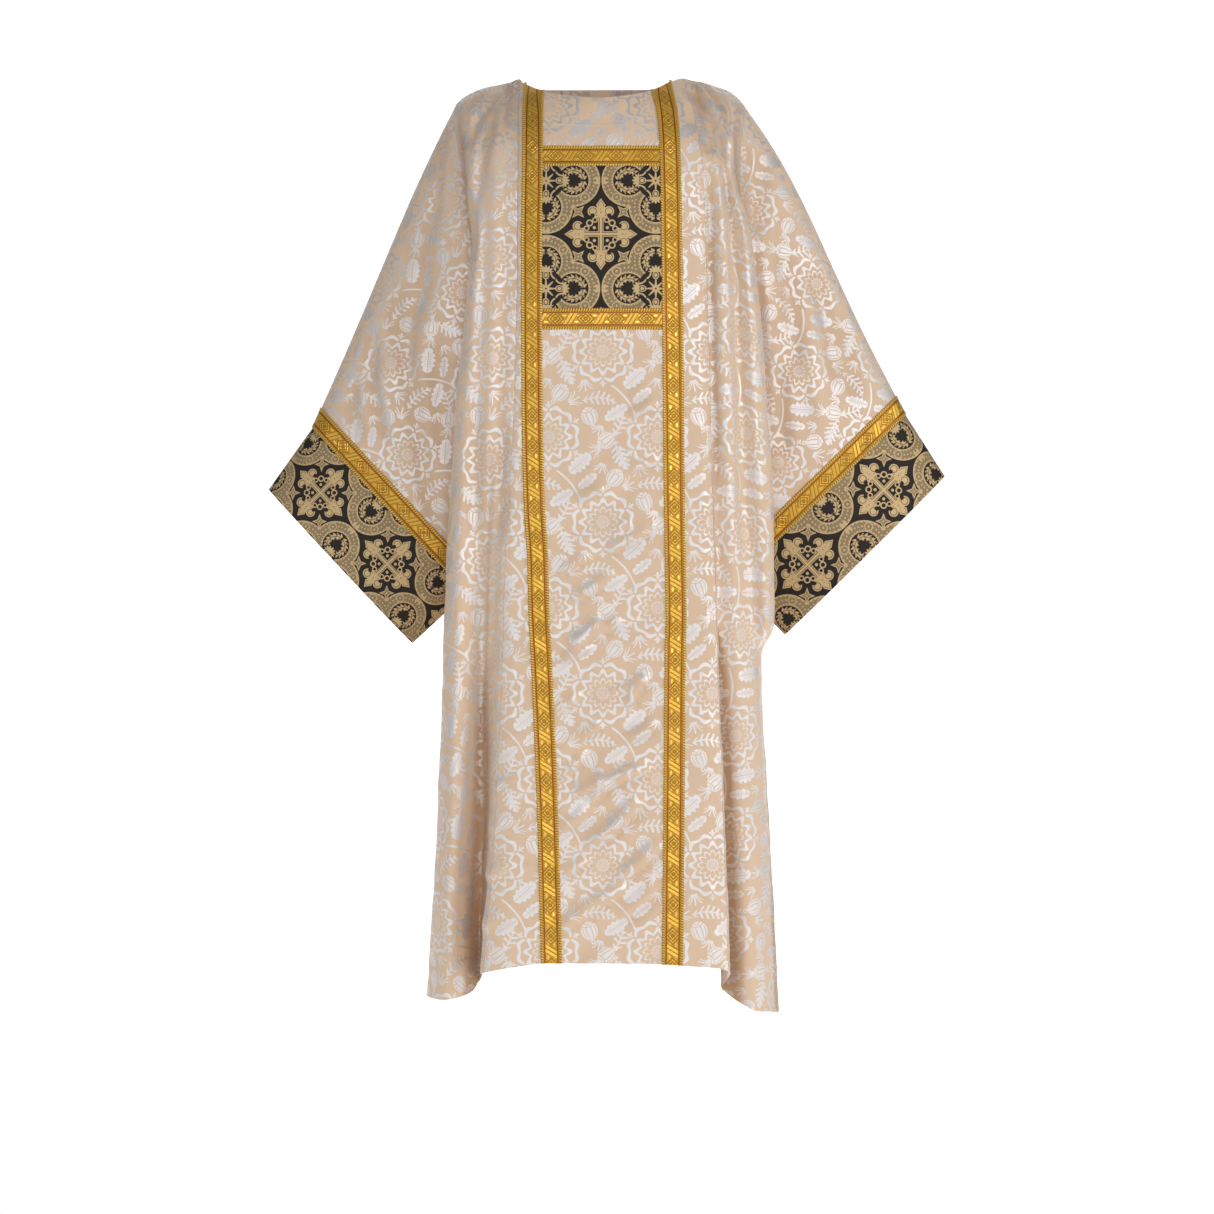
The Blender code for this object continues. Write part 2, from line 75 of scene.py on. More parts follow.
# Lines down each side, from the clavus to the side seam. The columns are the stations.
# "strip" is the outer edge of the clavus, "seam" joins the middle panel to the side panel,
# "dip" and "swell" are the first groove and fold, "groove" the second groove, "crest" and
# "edge" the front and the outside of the outer fold, "side" the armhole and the side seam.
LEFT = {
    "strip": ((9.9, 10.0, 10.0, 10.0, 10.1, 10.0, 9.7, 9.3, 9.1, 8.9, 8.0, 7.5),
              (3.2, 5.0, 7.8, 10.3, 12.4, 14.0, 14.7, 15.0, 15.3, 15.5, 16.9, 18.1)),
    "seam": ((10.6, 10.6, 10.6, 10.6, 10.6, 11.0, 11.7, 12.1, 12.3, 12.4, 13.3, 14.8),
             (1.7, 4.1, 7.3, 10.0, 12.2, 13.8, 14.4, 14.7, 14.9, 15.0, 16.3, 17.4)),
    "dip": ((11.8, 11.8, 11.9, 12.0, 12.1, 12.7, 13.1, 13.4, 13.5, 13.6, 14.2, 15.1),
            (0.0, 3.1, 6.8, 9.7, 11.9, 13.3, 13.5, 13.5, 13.5, 13.4, 13.4, 13.5)),
    "swell": ((13.2, 13.2, 13.3, 13.4, 13.4, 14.0, 14.3, 14.4, 14.5, 14.6, 14.9, 15.6),
              (0.0, 2.9, 6.5, 9.5, 11.9, 13.4, 13.3, 13.1, 12.7, 12.4, 11.3, 9.7)),
    "groove": ((14.9, 14.9, 14.8, 14.8, 14.8, 15.6, 15.8, 15.6, 15.4, 15.3, 15.7, 16.3),
               (0.0, 2.7, 6.1, 8.9, 11.4, 12.8, 12.6, 12.3, 12.0, 11.8, 11.1, 10.2)),
    "crest": ((16.5, 16.5, 16.4, 16.4, 15.9, 17.2, 17.7, 17.9, 18.1, 18.2, 18.9, 19.4),
              (0.0, 2.5, 5.6, 8.3, 11.3, 12.6, 13.0, 13.1, 13.1, 13.0, 13.2, 13.4)),
    "edge": ((17.9, 17.9, 17.8, 17.6, 16.8, 18.5, 19.3, 19.7, 20.0, 20.1, 21.0, 22.2),
             (0.0, 1.9, 4.5, 6.6, 9.4, 10.4, 10.2, 10.0, 9.8, 9.7, 9.2, 8.8)),
    "side": ((18.8, 18.9, 18.9, 18.3, 15.8, 16.3, 15.8, 14.0, 15.7, 16.7, 19.8, 21.3),
             (0.0, 1.2, 2.6, 4.0, 6.3, 6.2, 4.2, 0.0, 0.0, 0.0, 0.0, 0.0)),
}
RIGHT = {
    "strip": ((9.1, 9.3, 9.8, 10.1, 10.3, 10.5, 10.6, 10.7, 10.8, 10.7, 10.5, 10.3),
              (3.8, 5.4, 8.0, 10.3, 12.4, 14.1, 14.7, 15.0, 15.3, 15.5, 16.8, 17.9)),
    "seam": ((10.6, 11.1, 12.0, 12.8, 13.4, 14.0, 14.3, 14.5, 14.6, 14.7, 15.5, 16.1),
             (1.6, 4.0, 7.2, 9.8, 11.8, 13.6, 14.4, 14.7, 14.9, 15.1, 16.0, 17.0)),
    "dip": ((12.0, 12.2, 12.9, 13.6, 14.1, 14.6, 14.8, 14.8, 14.7, 14.7, 15.2, 15.6),
            (0.0, 2.9, 6.5, 9.3, 11.2, 13.0, 13.2, 13.1, 12.9, 12.8, 11.8, 10.8)),
    "swell": ((13.6, 13.8, 14.2, 14.6, 15.6, 16.2, 16.6, 16.9, 17.1, 17.3, 18.5, 19.2),
              (0.0, 2.8, 6.2, 9.1, 11.8, 13.5, 13.5, 13.3, 13.1, 12.9, 12.2, 12.0)),
    "groove": ((15.1, 15.2, 15.3, 15.5, 16.9, 17.9, 18.3, 18.9, 19.4, 19.7, 20.8, 21.6),
               (0.0, 2.6, 5.8, 8.5, 10.3, 11.6, 11.6, 11.5, 11.3, 11.0, 9.8, 9.6)),
    "crest": ((16.5, 16.5, 16.3, 16.2, 18.3, 19.6, 20.5, 20.8, 20.9, 20.3, 21.6, 22.6),
              (0.0, 2.4, 5.5, 8.2, 11.3, 12.4, 12.3, 12.2, 11.8, 9.3, 7.8, 7.2)),
    "edge": ((17.4, 17.3, 17.0, 16.9, 19.3, 21.2, 22.0, 22.1, 22.1, 20.6, 21.9, 23.0),
             (0.0, 2.0, 4.8, 6.7, 9.6, 10.4, 10.2, 10.1, 9.6, 6.4, 5.0, 4.4)),
    "side": ((18.2, 18.4, 18.4, 18.0, 17.8, 18.0, 16.6, 13.8, 16.6, 18.2, 21.5, 22.9),
             (0.0, 1.3, 2.7, 4.0, 6.3, 6.2, 4.2, 0.0, 0.0, 0.0, 0.0, 0.0)),
}
LINES = ("strip", "seam", "dip", "swell", "groove", "crest", "edge", "side")

BACK_FOLDS = ("seam", "dip", "swell", "groove")
BACK_SOFTNESS = 0.6

# How far each line starts below the neck point, and how far it ends below the middle's hem
START_DROP = {
    "left": (0.9, 0.1, 0.3, 0.6, 0.95, 1.5, 2.3, 3.1),
    "right": (0.7, 0.0, 0.1, 0.4, 0.9, 1.4, 2.0, 2.7),
}
HEM_DROP = {
    "left": (0.0, 1.2, 1.8, 3.0, 4.2, 5.0, 5.0, 4.8),
    "right": (0.3, 1.0, 4.0, 6.4, 6.9, 7.2, 7.3, 7.3),
}
MIDDLE_START = {"front": 3.4, "back": 0.2}
MIDDLE_HEM = {"front": 0.0, "back": 2.8}
START_FADE = 12.0
HEM_FADE = 60.0

# Cells between neighbouring lines, from the middle outwards; the second number is the clavus
CELLS = (18, 6, 4, 6, 6, 6, 6, 8, 18)

# Sleeve ends in the sleeve's own plane: x outward and z of the top and bottom, and half depth
SLEEVE_ENDS = {
    "left": {"seam": ((37.5, -45.2), (17.4, -66.6), 4.6), "hem": ((43.2, -53.2), (24.5, -73.2), 4.2)},
    "right": {"seam": ((39.6, -43.5), (17.2, -65.4), 4.6), "hem": ((44.7, -51.5), (23.9, -72.1), 4.2)},
}
SHOULDER_BULGE = {"left": 0.35, "right": 0.95}
SLEEVE_SHARE = 1.4
SLEEVE_CELLS = 44
GALLOON_CELLS = 6
CUFF_CELLS = 16

STIFFENED = 0.7
STIFF_COLUMNS = 5.0
CREASE_STRENGTH = {"tuck": 2.5, "line": 1.8}
# How far a crease runs on past its ends, and how slowly it fades there, as shares of its length
CREASE_RUN_OUT = 0.25
CREASE_FADE = 0.45
# How many columns, rows or rings from a border the relief reaches its full height
EDGE_HOLD = 4.0
TOP_HOLD = 3.0
RING_HOLD = 5.0
FOLD_HOLD = 8.0
# The least share of the relief, beside the cuff's galloon
CUFF_HOLD = 0.15
# A point inside the garment, which its front and back face away from
BODY_AXIS = np.array([0.0, 0.0, -0.6])

# Creases on the front: start x and drop, end x and drop, bend, half width and height, in cm.
# A "tuck" is a ridge with a groove along its lower side, a "line" is a ridge, or a groove
# where its height is below zero.
FRONT_CREASES = {
    "tuck": (
        (4.2, 42.3, 6.0, 41.0, 0.0, 0.5, 0.15),
        (4.1, 44.6, 6.9, 42.9, 0.3, 0.6, 0.25),
        (-2.6, 52.4, -0.5, 51.4, 0.0, 0.5, 0.15),
        (-2.6, 55.2, 0.3, 53.8, 0.1, 0.5, 0.20),
        (3.9, 51.5, 6.9, 50.5, 0.1, 0.6, 0.20),
        (1.4, 61.7, 6.6, 58.8, 0.4, 0.8, 0.30),
        (1.9, 59.5, 3.9, 58.1, 0.0, 0.5, 0.15),
        (-4.9, 64.5, -1.4, 62.6, 0.1, 0.6, 0.20),
        (-3.3, 67.9, 1.2, 65.3, 0.3, 0.8, 0.20),
        (-2.9, 73.7, 0.1, 70.8, 0.3, 0.9, 0.30),
        (-4.5, 75.5, -1.1, 73.9, 0.1, 0.6, 0.20),
        (-0.4, 72.2, 2.7, 70.7, 0.1, 0.8, 0.25),
        (-5.7, 82.3, -2.6, 80.3, 0.1, 0.8, 0.20),
        (-0.1, 80.6, 3.4, 79.0, 0.1, 0.6, 0.15),
        (3.9, 85.6, 7.0, 83.7, 0.3, 0.8, 0.25),
        (4.2, 81.0, 6.2, 77.7, -0.3, 0.8, 0.25),
        (-0.4, 92.8, 5.6, 89.6, -0.5, 1.0, 0.40),
        (-4.4, 90.4, -1.9, 87.5, 0.1, 0.6, 0.20),
        (-2.6, 92.5, 0.3, 90.4, 0.1, 0.6, 0.20),
        (-2.0, 85.3, 0.1, 83.8, 0.1, 0.6, 0.20),
        (-0.4, 98.6, 5.0, 93.7, 0.4, 1.0, 0.35),
        (3.1, 102.7, 7.6, 98.9, 0.3, 1.0, 0.30),
        (-5.2, 97.3, -1.4, 94.8, 0.1, 0.8, 0.20),
        (3.4, 107.6, 7.2, 104.2, 0.3, 1.0, 0.30),
        (-5.7, 103.0, -1.4, 100.8, 0.1, 0.8, 0.20),
        (-0.1, 106.2, 3.1, 104.3, 0.1, 0.9, 0.20),
        (-5.2, 109.4, -0.1, 106.2, 0.3, 1.0, 0.20),
        (-12.1, 86.0, -8.7, 84.1, 0.1, 0.6, 0.12),
        (-12.8, 91.6, -9.0, 89.8, 0.1, 0.6, 0.15),
        (-13.0, 97.0, -8.3, 94.8, 0.1, 0.8, 0.15),
        (-13.8, 103.0, -8.3, 99.2, 0.3, 0.8, 0.20),
        (-14.3, 109.4, -9.0, 105.6, 0.3, 0.8, 0.15),
        (11.3, 80.5, 14.1, 79.0, 0.1, 0.6, 0.10),
        (11.3, 92.9, 14.1, 90.6, 0.1, 0.6, 0.10),
        (11.3, 106.2, 14.4, 103.7, 0.1, 0.8, 0.15),
    ),
    "line": (
        (-11.8, 1.0, -12.4, 6.8, 0.1, 0.5, -0.15),
        (-15.2, 1.9, -17.0, 4.4, 0.2, 0.5, -0.25),
        (-13.9, 3.0, -17.0, 8.9, 0.4, 0.6, -0.45),
        (-16.2, 4.4, -16.9, 8.2, 0.0, 0.5, 0.25),
        (-14.0, 5.5, -16.4, 22.6, 0.5, 0.8, -0.40),
        (-15.4, 9.5, -16.4, 20.0, 0.2, 0.9, 0.25),
        (11.0, 0.3, 16.4, 10.4, -1.1, 0.6, 0.45),
        (11.2, 2.0, 15.6, 10.6, -0.9, 0.6, -0.30),
        (12.9, 0.6, 16.0, 7.0, -0.5, 0.5, -0.30),
        (11.9, 5.5, 13.9, 10.0, 0.1, 1.0, -0.25),
        (14.0, 6.0, 14.2, 10.0, 0.1, 0.6, -0.15),
        (-15.9, 44.0, -16.2, 58.0, 0.1, 1.0, -0.15),
        (-12.0, 46.0, -12.5, 59.0, 0.1, 0.6, -0.12),
        (13.7, 22.0, 14.6, 60.0, 0.1, 0.40, -0.20),
        (14.9, 26.0, 15.9, 52.0, 0.2, 0.60, 0.15),
        (-14.0, 52.0, -15.2, 84.0, 0.2, 0.50, -0.20),
    ),
}

# Creases on the back, in the same columns; x still runs to the right of the front view
BACK_CREASES = {
    "line": (
        (10.0, 0.8, 15.6, 10.0, -0.9, 0.7, -0.40),
        (12.4, 0.8, 16.6, 8.0, -0.6, 0.6, 0.35),
        (-10.8, 1.0, -15.6, 11.0, 0.9, 0.7, -0.40),
        (-13.2, 1.2, -16.8, 8.6, 0.5, 0.6, 0.30),
        (-14.0, 8.0, -15.8, 24.0, 0.4, 0.9, -0.30),
        (14.2, 9.0, 15.4, 22.0, -0.4, 0.9, -0.25),
    ),
    "tuck": (
        (-7.4, 21.0, -1.8, 18.2, 0.4, 1.0, 0.20),
        (2.2, 17.0, 7.6, 19.6, 0.5, 1.0, 0.20),
        (-4.2, 30.4, 1.6, 28.2, 0.4, 1.1, 0.25),
        (-6.0, 44.6, -1.0, 42.0, 0.3, 0.9, 0.25),
        (1.8, 47.8, 7.0, 45.6, 0.3, 0.8, 0.20),
        (-4.8, 58.8, 0.4, 55.6, 0.4, 1.0, 0.30),
        (0.8, 63.6, 6.0, 61.4, 0.2, 0.8, 0.20),
        (-7.6, 70.0, -3.4, 67.8, 0.2, 0.8, 0.20),
        (-0.8, 76.4, 5.8, 72.8, 0.4, 1.0, 0.35),
        (-6.6, 85.6, -0.8, 81.8, 0.4, 1.0, 0.30),
        (1.6, 90.8, 6.4, 87.8, 0.3, 0.9, 0.25),
        (-5.8, 99.4, 1.0, 95.6, 0.5, 1.1, 0.35),
        (2.8, 105.4, 8.6, 102.4, 0.3, 0.9, 0.25),
        (-12.6, 79.6, -9.0, 76.8, 0.2, 0.8, 0.20),
        (-13.4, 95.8, -9.2, 92.8, 0.2, 0.8, 0.20),
        (11.2, 84.0, 14.4, 81.0, 0.2, 0.8, 0.20),
        (11.4, 99.8, 15.0, 96.8, 0.2, 0.8, 0.20),
    ),
}

CREASES = {"front": FRONT_CREASES, "back": BACK_CREASES}

# Lines on the sleeves, on their front halves and on their back halves
SLEEVE_LINES = {
    "front": (
        (-24.3, 29.2, -24.8, 40.0, 0.2, 1.0, -0.35),
        (-26.4, 28.2, -25.3, 36.4, 0.3, 1.1, -0.30),
        (-29.7, 34.8, -27.2, 47.3, 0.6, 0.9, -0.35),
        (-32.1, 40.1, -31.1, 46.2, 0.3, 0.7, -0.30),
        (-21.2, 36.0, -19.9, 48.6, 0.2, 1.2, -0.25),
        (-28.2, 38.0, -26.0, 50.0, 0.4, 1.2, 0.25),
        (-22.4, 18.0, -23.4, 30.0, 0.2, 1.3, -0.25),
        (-20.4, 8.0, -21.4, 18.0, 0.2, 0.8, -0.20),
        (17.4, 4.0, 17.0, 8.6, 0.0, 0.5, -0.30),
        (18.6, 3.4, 18.0, 10.0, 0.1, 0.6, 0.35),
        (20.9, 11.0, 20.2, 19.6, 0.2, 1.1, -0.30),
        (23.6, 24.0, 25.0, 37.0, -0.4, 1.2, -0.30),
        (27.6, 26.0, 30.0, 38.0, -0.4, 1.0, -0.25),
        (31.4, 32.0, 32.6, 40.6, -0.2, 0.9, -0.25),
        (23.0, 38.0, 23.4, 48.0, 0.1, 1.1, -0.25),
        (27.0, 32.0, 28.4, 44.0, 0.3, 1.2, 0.25),
        (18.9, 12.0, 21.6, 46.0, 0.0, 0.7, -0.30),
        (-24.0, 40.0, -22.0, 56.0, 0.3, 1.0, -0.25),
    ),
    "back": (
        (-20.6, 10.0, -24.0, 24.0, 0.5, 1.1, -0.30),
        (-24.0, 22.0, -27.4, 38.0, 0.5, 1.1, -0.30),
        (-22.0, 32.0, -22.4, 48.0, -0.3, 1.1, 0.25),
        (-31.0, 37.0, -30.0, 46.0, 0.2, 0.8, -0.25),
        (20.6, 9.0, 24.6, 24.0, -0.5, 1.1, -0.30),
        (25.0, 20.0, 29.0, 36.0, -0.5, 1.1, -0.30),
        (22.6, 30.0, 24.0, 46.0, 0.3, 1.1, 0.25),
        (32.6, 34.0, 31.6, 43.0, 0.3, 0.8, -0.25),
    ),
}


def clamp(value):
    """The value, kept between 0 and 1."""
    return np.clip(value, 0.0, 1.0)


def curve(start, end, start_slope, end_slope, t):
    """A cubic curve from start to end; the slopes are those of the whole step."""
    return (
        start * (1 + 2 * t) * (1 - t) ** 2
        + start_slope * t * (1 - t) ** 2
        + end * t * t * (3 - 2 * t)
        + end_slope * t * t * (t - 1)
    )


def steady(at, heights, values):
    """A smooth curve through the values that never swings past them."""
    heights = np.asarray(heights, float)
    values = np.asarray(values, float)
    step = np.diff(heights)
    rise = np.diff(values) / step
    slope = np.zeros_like(values)
    slope[0] = rise[0]
    slope[-1] = rise[-1]
    for k in range(1, len(values) - 1):
        if rise[k - 1] * rise[k] > 0.0:
            before = 2.0 * step[k] + step[k - 1]
            after = step[k] + 2.0 * step[k - 1]
            slope[k] = (before + after) / (before / rise[k - 1] + after / rise[k])
    at = np.clip(np.asarray(at, float), heights[0], heights[-1])
    k = np.clip(np.searchsorted(heights, at, side="right") - 1, 0, len(step) - 1)
    t = (at - heights[k]) / step[k]
    return curve(values[k], values[k + 1], slope[k] * step[k], slope[k + 1] * step[k], t)


def rounded(points, cells):
    """A round line through the points, with a number of cells between each two of them."""
    gaps = np.linalg.norm(np.diff(points, axis=0), axis=1) ** 0.5
    slopes = np.diff(points, axis=0) / gaps[:, None]
    tangent = np.empty_like(points)
    tangent[0] = slopes[0]
    tangent[-1] = slopes[-1]
    before, after = gaps[:-1, None], gaps[1:, None]
    tangent[1:-1] = (slopes[:-1] * after + slopes[1:] * before) / (before + after)
    line = [points[:1]]
    for k, count in enumerate(cells):
        t = (np.arange(1, count + 1) / count)[:, None]
        line.append(curve(points[k], points[k + 1], tangent[k] * gaps[k], tangent[k + 1] * gaps[k], t))
    return np.vstack(line)


def start_fade(drop):
    return max(0.0, 1.0 - drop / START_FADE) ** 2


def hem_fade(drop):
    t = clamp((drop - HEM_FADE) / (FRONT_LENGTH - HEM_FADE))
    return t * t * (3.0 - 2.0 * t)


def height(drop, start, hem):
    return -(drop + start * start_fade(drop) + hem * hem_fade(drop))


def line_at(table, line, drop):
    """Distance out and depth of a named line at one height."""
    out, forward = table[line]
    return steady(drop, STATIONS, out), steady(drop, STATIONS, forward)


def half_section(face, side, drop):
    """Control points from the middle to the side at one height, x outward and y forward."""
    own = LEFT if side == "left" else RIGHT
    other = RIGHT if side == "left" else LEFT
    depth = steady(drop, STATIONS, MIDDLE_FRONT if face == "front" else MIDDLE_BACK)
    points = [(0.0, depth, height(drop, MIDDLE_START[face], MIDDLE_HEM[face]))]
    for k, line in enumerate(LINES):
        out, forward = line_at(own, line, drop)
        hem = HEM_DROP[side][k]
        if face == "back":
            # The back's inner folds are softer ones, like those of the other side of the front
            if line in BACK_FOLDS:
                swap = 1.0 - start_fade(drop)
                room = line_at(own, "crest", drop)[0] / line_at(other, "crest", drop)[0]
                far_out, far_forward = line_at(other, line, drop)
                seam_forward = line_at(other, "seam", drop)[1]
                far_forward = seam_forward - BACK_SOFTNESS * (seam_forward - far_forward)
                out += swap * (far_out * room - out)
                forward += swap * (far_forward - forward)
            share = (k + 1) / len(LINES)
            front_depth = steady(drop, STATIONS, MIDDLE_FRONT)
            forward *= 1.0 - (1.0 - depth / front_depth) * (1.0 - share)
            hem = MIDDLE_HEM[face] + (HEM_DROP[side][-1] - MIDDLE_HEM[face]) * share
        z = height(drop, START_DROP[side][k], hem)
        if line == "strip":
            share = 0.57
            inner = (
                out - GALLOON_WIDTH / CM,
                forward + share * (depth - forward),
                z + share * (points[0][2] - z),
            )
            points.append(inner)
        points.append((out, forward, z))
    return np.array(points)


def fine_drops():
    """Heights of the net's rows, with a row at each height where a piece ends."""
    ends = (0.0, STITCH_LINE, TOP_GALLOON, CHEST_TOP, CHEST_BOTTOM, LOW_GALLOON, UNDERARM, FRONT_LENGTH)
    drops = [0.0]
    for high, low in zip(ends, ends[1:]):
        count = round((low - high) / ROW_STEP)
        drops += [high + (low - high) * cell / count for cell in range(1, count + 1)]
    return np.array(drops)


ROWS = fine_drops()


def row_of(drop):
    return int(np.argmin(np.abs(ROWS - drop)))


ARMHOLE_ROWS = row_of(UNDERARM) + 1


def body_net(face):
    """Rows of points across the front or the back, from the left side to the right side."""
    rows = []
    for drop in ROWS:
        left = half_section(face, "left", drop)
        right = half_section(face, "right", drop)
        left[:, 0] *= -1.0
        points = np.vstack([left[::-1], right[1:]])
        line = rounded(points, CELLS[::-1] + CELLS)
        line[:, 1] = np.maximum(line[:, 1], 0.0) * (-1.0 if face == "front" else 1.0)
        rows.append(line * CM)
    return np.array(rows)


def column(side, line):
    """Column of a named line in the body's net."""
    names = ("inner",) + LINES
    out = sum(CELLS[: names.index(line) + 1])
    middle = sum(CELLS)
    return middle - out if side == "left" else middle + out


def sleeve_ring(side, name, share):
    """Point of a sleeve end on its front face; share runs from the top to the bottom."""
    (top_x, top_z), (low_x, low_z), half_depth = SLEEVE_ENDS[side][name]
    across = np.array([top_x + (low_x - top_x) * share, 0.0, top_z + (low_z - top_z) * share])
    across[1] = -half_depth * np.sqrt(max(0.0, 1.0 - (2.0 * share - 1.0) ** 2))
    if side == "left":
        across[0] *= -1.0
    return across * CM


def cuff_way(side):
    """Direction of the cuff's edge, from its top to its bottom."""
    (top_x, top_z), (low_x, low_z), _ = SLEEVE_ENDS[side]["seam"]
    along = np.array([low_x - top_x, 0.0, low_z - top_z])
    if side == "left":
        along[0] *= -1.0
    return along / np.linalg.norm(along)


def outward(side):
    """Direction of the sleeve's length, square to its cuff."""
    along = cuff_way(side)
    return np.array([-along[2], 0.0, along[0]]) * (-1.0 if side == "left" else 1.0)


def ring_shares():
    shares = ROWS[:ARMHOLE_ROWS] / UNDERARM
    return shares, np.concatenate([shares, shares[-2:0:-1]])


def end_ring(side, name):
    """Ring of a sleeve end: down its front from the top and up its back."""
    shares, _ = ring_shares()
    front = [sleeve_ring(side, name, share) for share in shares]
    back = [point * np.array([1.0, -1.0, 1.0]) for point in front[-2:0:-1]]
    return np.array(front + back)


def sleeve_net(side, front_edge, back_edge):
    """Rings of the sleeve: first the armhole, last the cuff seam, with the galloon's cells."""
    armhole = np.vstack([front_edge, back_edge[-2:0:-1]])
    seam = end_ring(side, "seam")
    _, share_round = ring_shares()
    reach = (seam - armhole) @ outward(side)
    galloon_start = 1.0 - GALLOON_WIDTH / reach
    swing = SHOULDER_BULGE[side] * CM * np.array([-1.0 if side == "left" else 1.0, 0.0, 0.45])
    rings = []
    for cell in range(SLEEVE_CELLS + GALLOON_CELLS + 1):
        if cell <= SLEEVE_CELLS:
            way = galloon_start * cell / SLEEVE_CELLS
        else:
            way = galloon_start + (1.0 - galloon_start) * (cell - SLEEVE_CELLS) / GALLOON_CELLS
        ring = armhole + (seam - armhole) * way[:, None]
        fullness = np.sin(np.pi * np.minimum(1.0, way * 1.15) ** 0.6) ** 2 * (1.0 - share_round) ** 4
        rings.append(ring + swing[None, :] * fullness[:, None])
    return np.array(rings)


def cuff_net(side):
    seam = end_ring(side, "seam")
    hem = end_ring(side, "hem")
    ways = np.arange(CUFF_CELLS + 1)[:, None, None] / CUFF_CELLS
    return seam * (1.0 - ways) + hem * ways


def unit(vectors):
    return vectors / np.linalg.norm(vectors, axis=-1, keepdims=True)


def from_edge(net):
    """How many columns lie between each column and the nearer side of a net."""
    columns = np.arange(net.shape[1])
    return np.minimum(columns, columns[::-1])


def normals(net, closed=False):
    """Outward directions at a net's points; a closed net runs round a tube."""
    down = np.gradient(net, axis=0)
    if closed:
        across = np.roll(net, -1, axis=1) - np.roll(net, 1, axis=1)
    else:
        across = np.gradient(net, axis=1)
    return unit(np.cross(across, down))


def away_from(facing, net, centre):
    """Turns the directions round where they point at the centre on the whole."""
    return facing if np.sum(facing * (net - centre)) > 0.0 else -facing


def crease_height(net, creases):
    """How far each point of a net moves out for the creases that run past it."""
    x = net[..., 0] / CM
    drop = -net[..., 2] / CM
    moved = np.zeros_like(x)
    for kind, x0, drop0, x1, drop1, bend, width, high in (
        (kind,) + row for kind, rows in creases.items() for row in rows
    ):
        way_x, way_drop = x1 - x0, drop1 - drop0
        length = np.hypot(way_x, way_drop)
        way_x, way_drop = way_x / length, way_drop / length
        along = ((x - x0) * way_x + (drop - drop0) * way_drop) / length
        aside = (x - x0) * -way_drop + (drop - drop0) * way_x
        aside = aside - bend * 4.0 * along * (1.0 - along)
        ends = clamp((along + CREASE_RUN_OUT) / CREASE_FADE)
        ends = ends * clamp((1.0 + CREASE_RUN_OUT - along) / CREASE_FADE)
        ends = ends * ends * (3.0 - 2.0 * ends)
        if kind == "tuck":
            # The ridge lies above the path and the groove below it
            aside = aside * np.sign(way_x)
            ridge = np.exp(-((aside + 0.8 * width) / (1.1 * width)) ** 2)
            groove = np.exp(-((aside - 0.3 * width) / (0.5 * width)) ** 2)
            profile = ridge - 0.6 * groove
        else:
            profile = np.exp(-((aside / width) ** 2))
        moved += CREASE_STRENGTH[kind] * high * ends * profile
    return moved * CM


# Slow waves that keep the cloth from looking pressed: cycles per metre in x, y and z, and
# height in millimetres
WAVES = (
    ((9.0, 5.0, 6.0), 0.35),
    ((-13.0, 7.0, 11.0), 0.25),
    ((21.0, -9.0, 17.0), 0.15),
    ((-27.0, 15.0, 29.0), 0.10),
)


def wave_height(net):
    total = np.zeros(net.shape[:-1])
    for k, (cycles, high) in enumerate(WAVES):
        total += high * MM * np.sin(2.0 * np.pi * (net @ np.array(cycles)) + k)
    return total


# Puckers of the middle of the front and back, below the chest: cycles per metre in x and z of
# the ripples and of their strength, and height in millimetres
PUCKERS = (
    ((-9.0, 13.0), (11.0, 4.0), 1.4),
    ((-14.0, 17.0), (-7.0, 9.0), 0.9),
    ((-6.0, 21.0), (13.0, -6.0), 0.5),
)
PUCKER_HALF_WIDTH = 8.0
PUCKER_START = 34.0
PUCKER_FULL = 56.0


def pucker_height(net):
    x = net[..., 0]
    z = net[..., 2]
    here = clamp((-z / CM - PUCKER_START) / (PUCKER_FULL - PUCKER_START))
    here = here * clamp(2.0 - np.abs(x / CM) / PUCKER_HALF_WIDTH)
    total = np.zeros(net.shape[:-1])
    for k, (ripple, strength, high) in enumerate(PUCKERS):
        wave = np.sin(2.0 * np.pi * (x * ripple[0] + z * ripple[1]) + 2.1 * k)
        swell = 0.5 + 0.5 * np.sin(2.0 * np.pi * (x * strength[0] + z * strength[1]) + 1.3 * k)
        total += high * MM * wave * swell
    return total * here


# The seams of the middle panel lie in a shallow groove and pucker along it: depth, height of the
# puckers and their distances, in metres
SEAM_DEPTH = 0.0010
SEAM_PUCKER = 0.0004
SEAM_PITCHES = (0.019, 0.031)


def seam_height(net, seam_column):
    away_by = np.abs(np.arange(net.shape[1]) - seam_column)[None, :]
    z = net[..., 2]
    ripple = sum(np.sin(2.0 * np.pi * z / pitch) for pitch in SEAM_PITCHES) / 2.0
    return SEAM_PUCKER * ripple * np.exp(-((away_by / 4.0) ** 2)) - SEAM_DEPTH * np.exp(-(away_by ** 2))


# The depth of a fold at which its cloth is fully in the shade, and how far round is looked
FOLD_DEPTH = 0.008
FOLD_REACH = 0.018
GROOVE_DEPTH = 0.0014
GROOVE_SHADE = 0.2
ARMHOLE_REACH = 0.026
ARMHOLE_SHADE = 0.6


def armhole_shade_share(drop):
    """How much painted shade the armhole's valley gets at a height: none on the shoulder and under the arm.
    """
    return clamp((drop - 5.0) / 14.0) * clamp((UNDERARM - drop) / 4.0) * ARMHOLE_SHADE


def groove_share(creased):
    """How shaded the grooves of the creases are."""
    return clamp(-creased / GROOVE_DEPTH) * GROOVE_SHADE


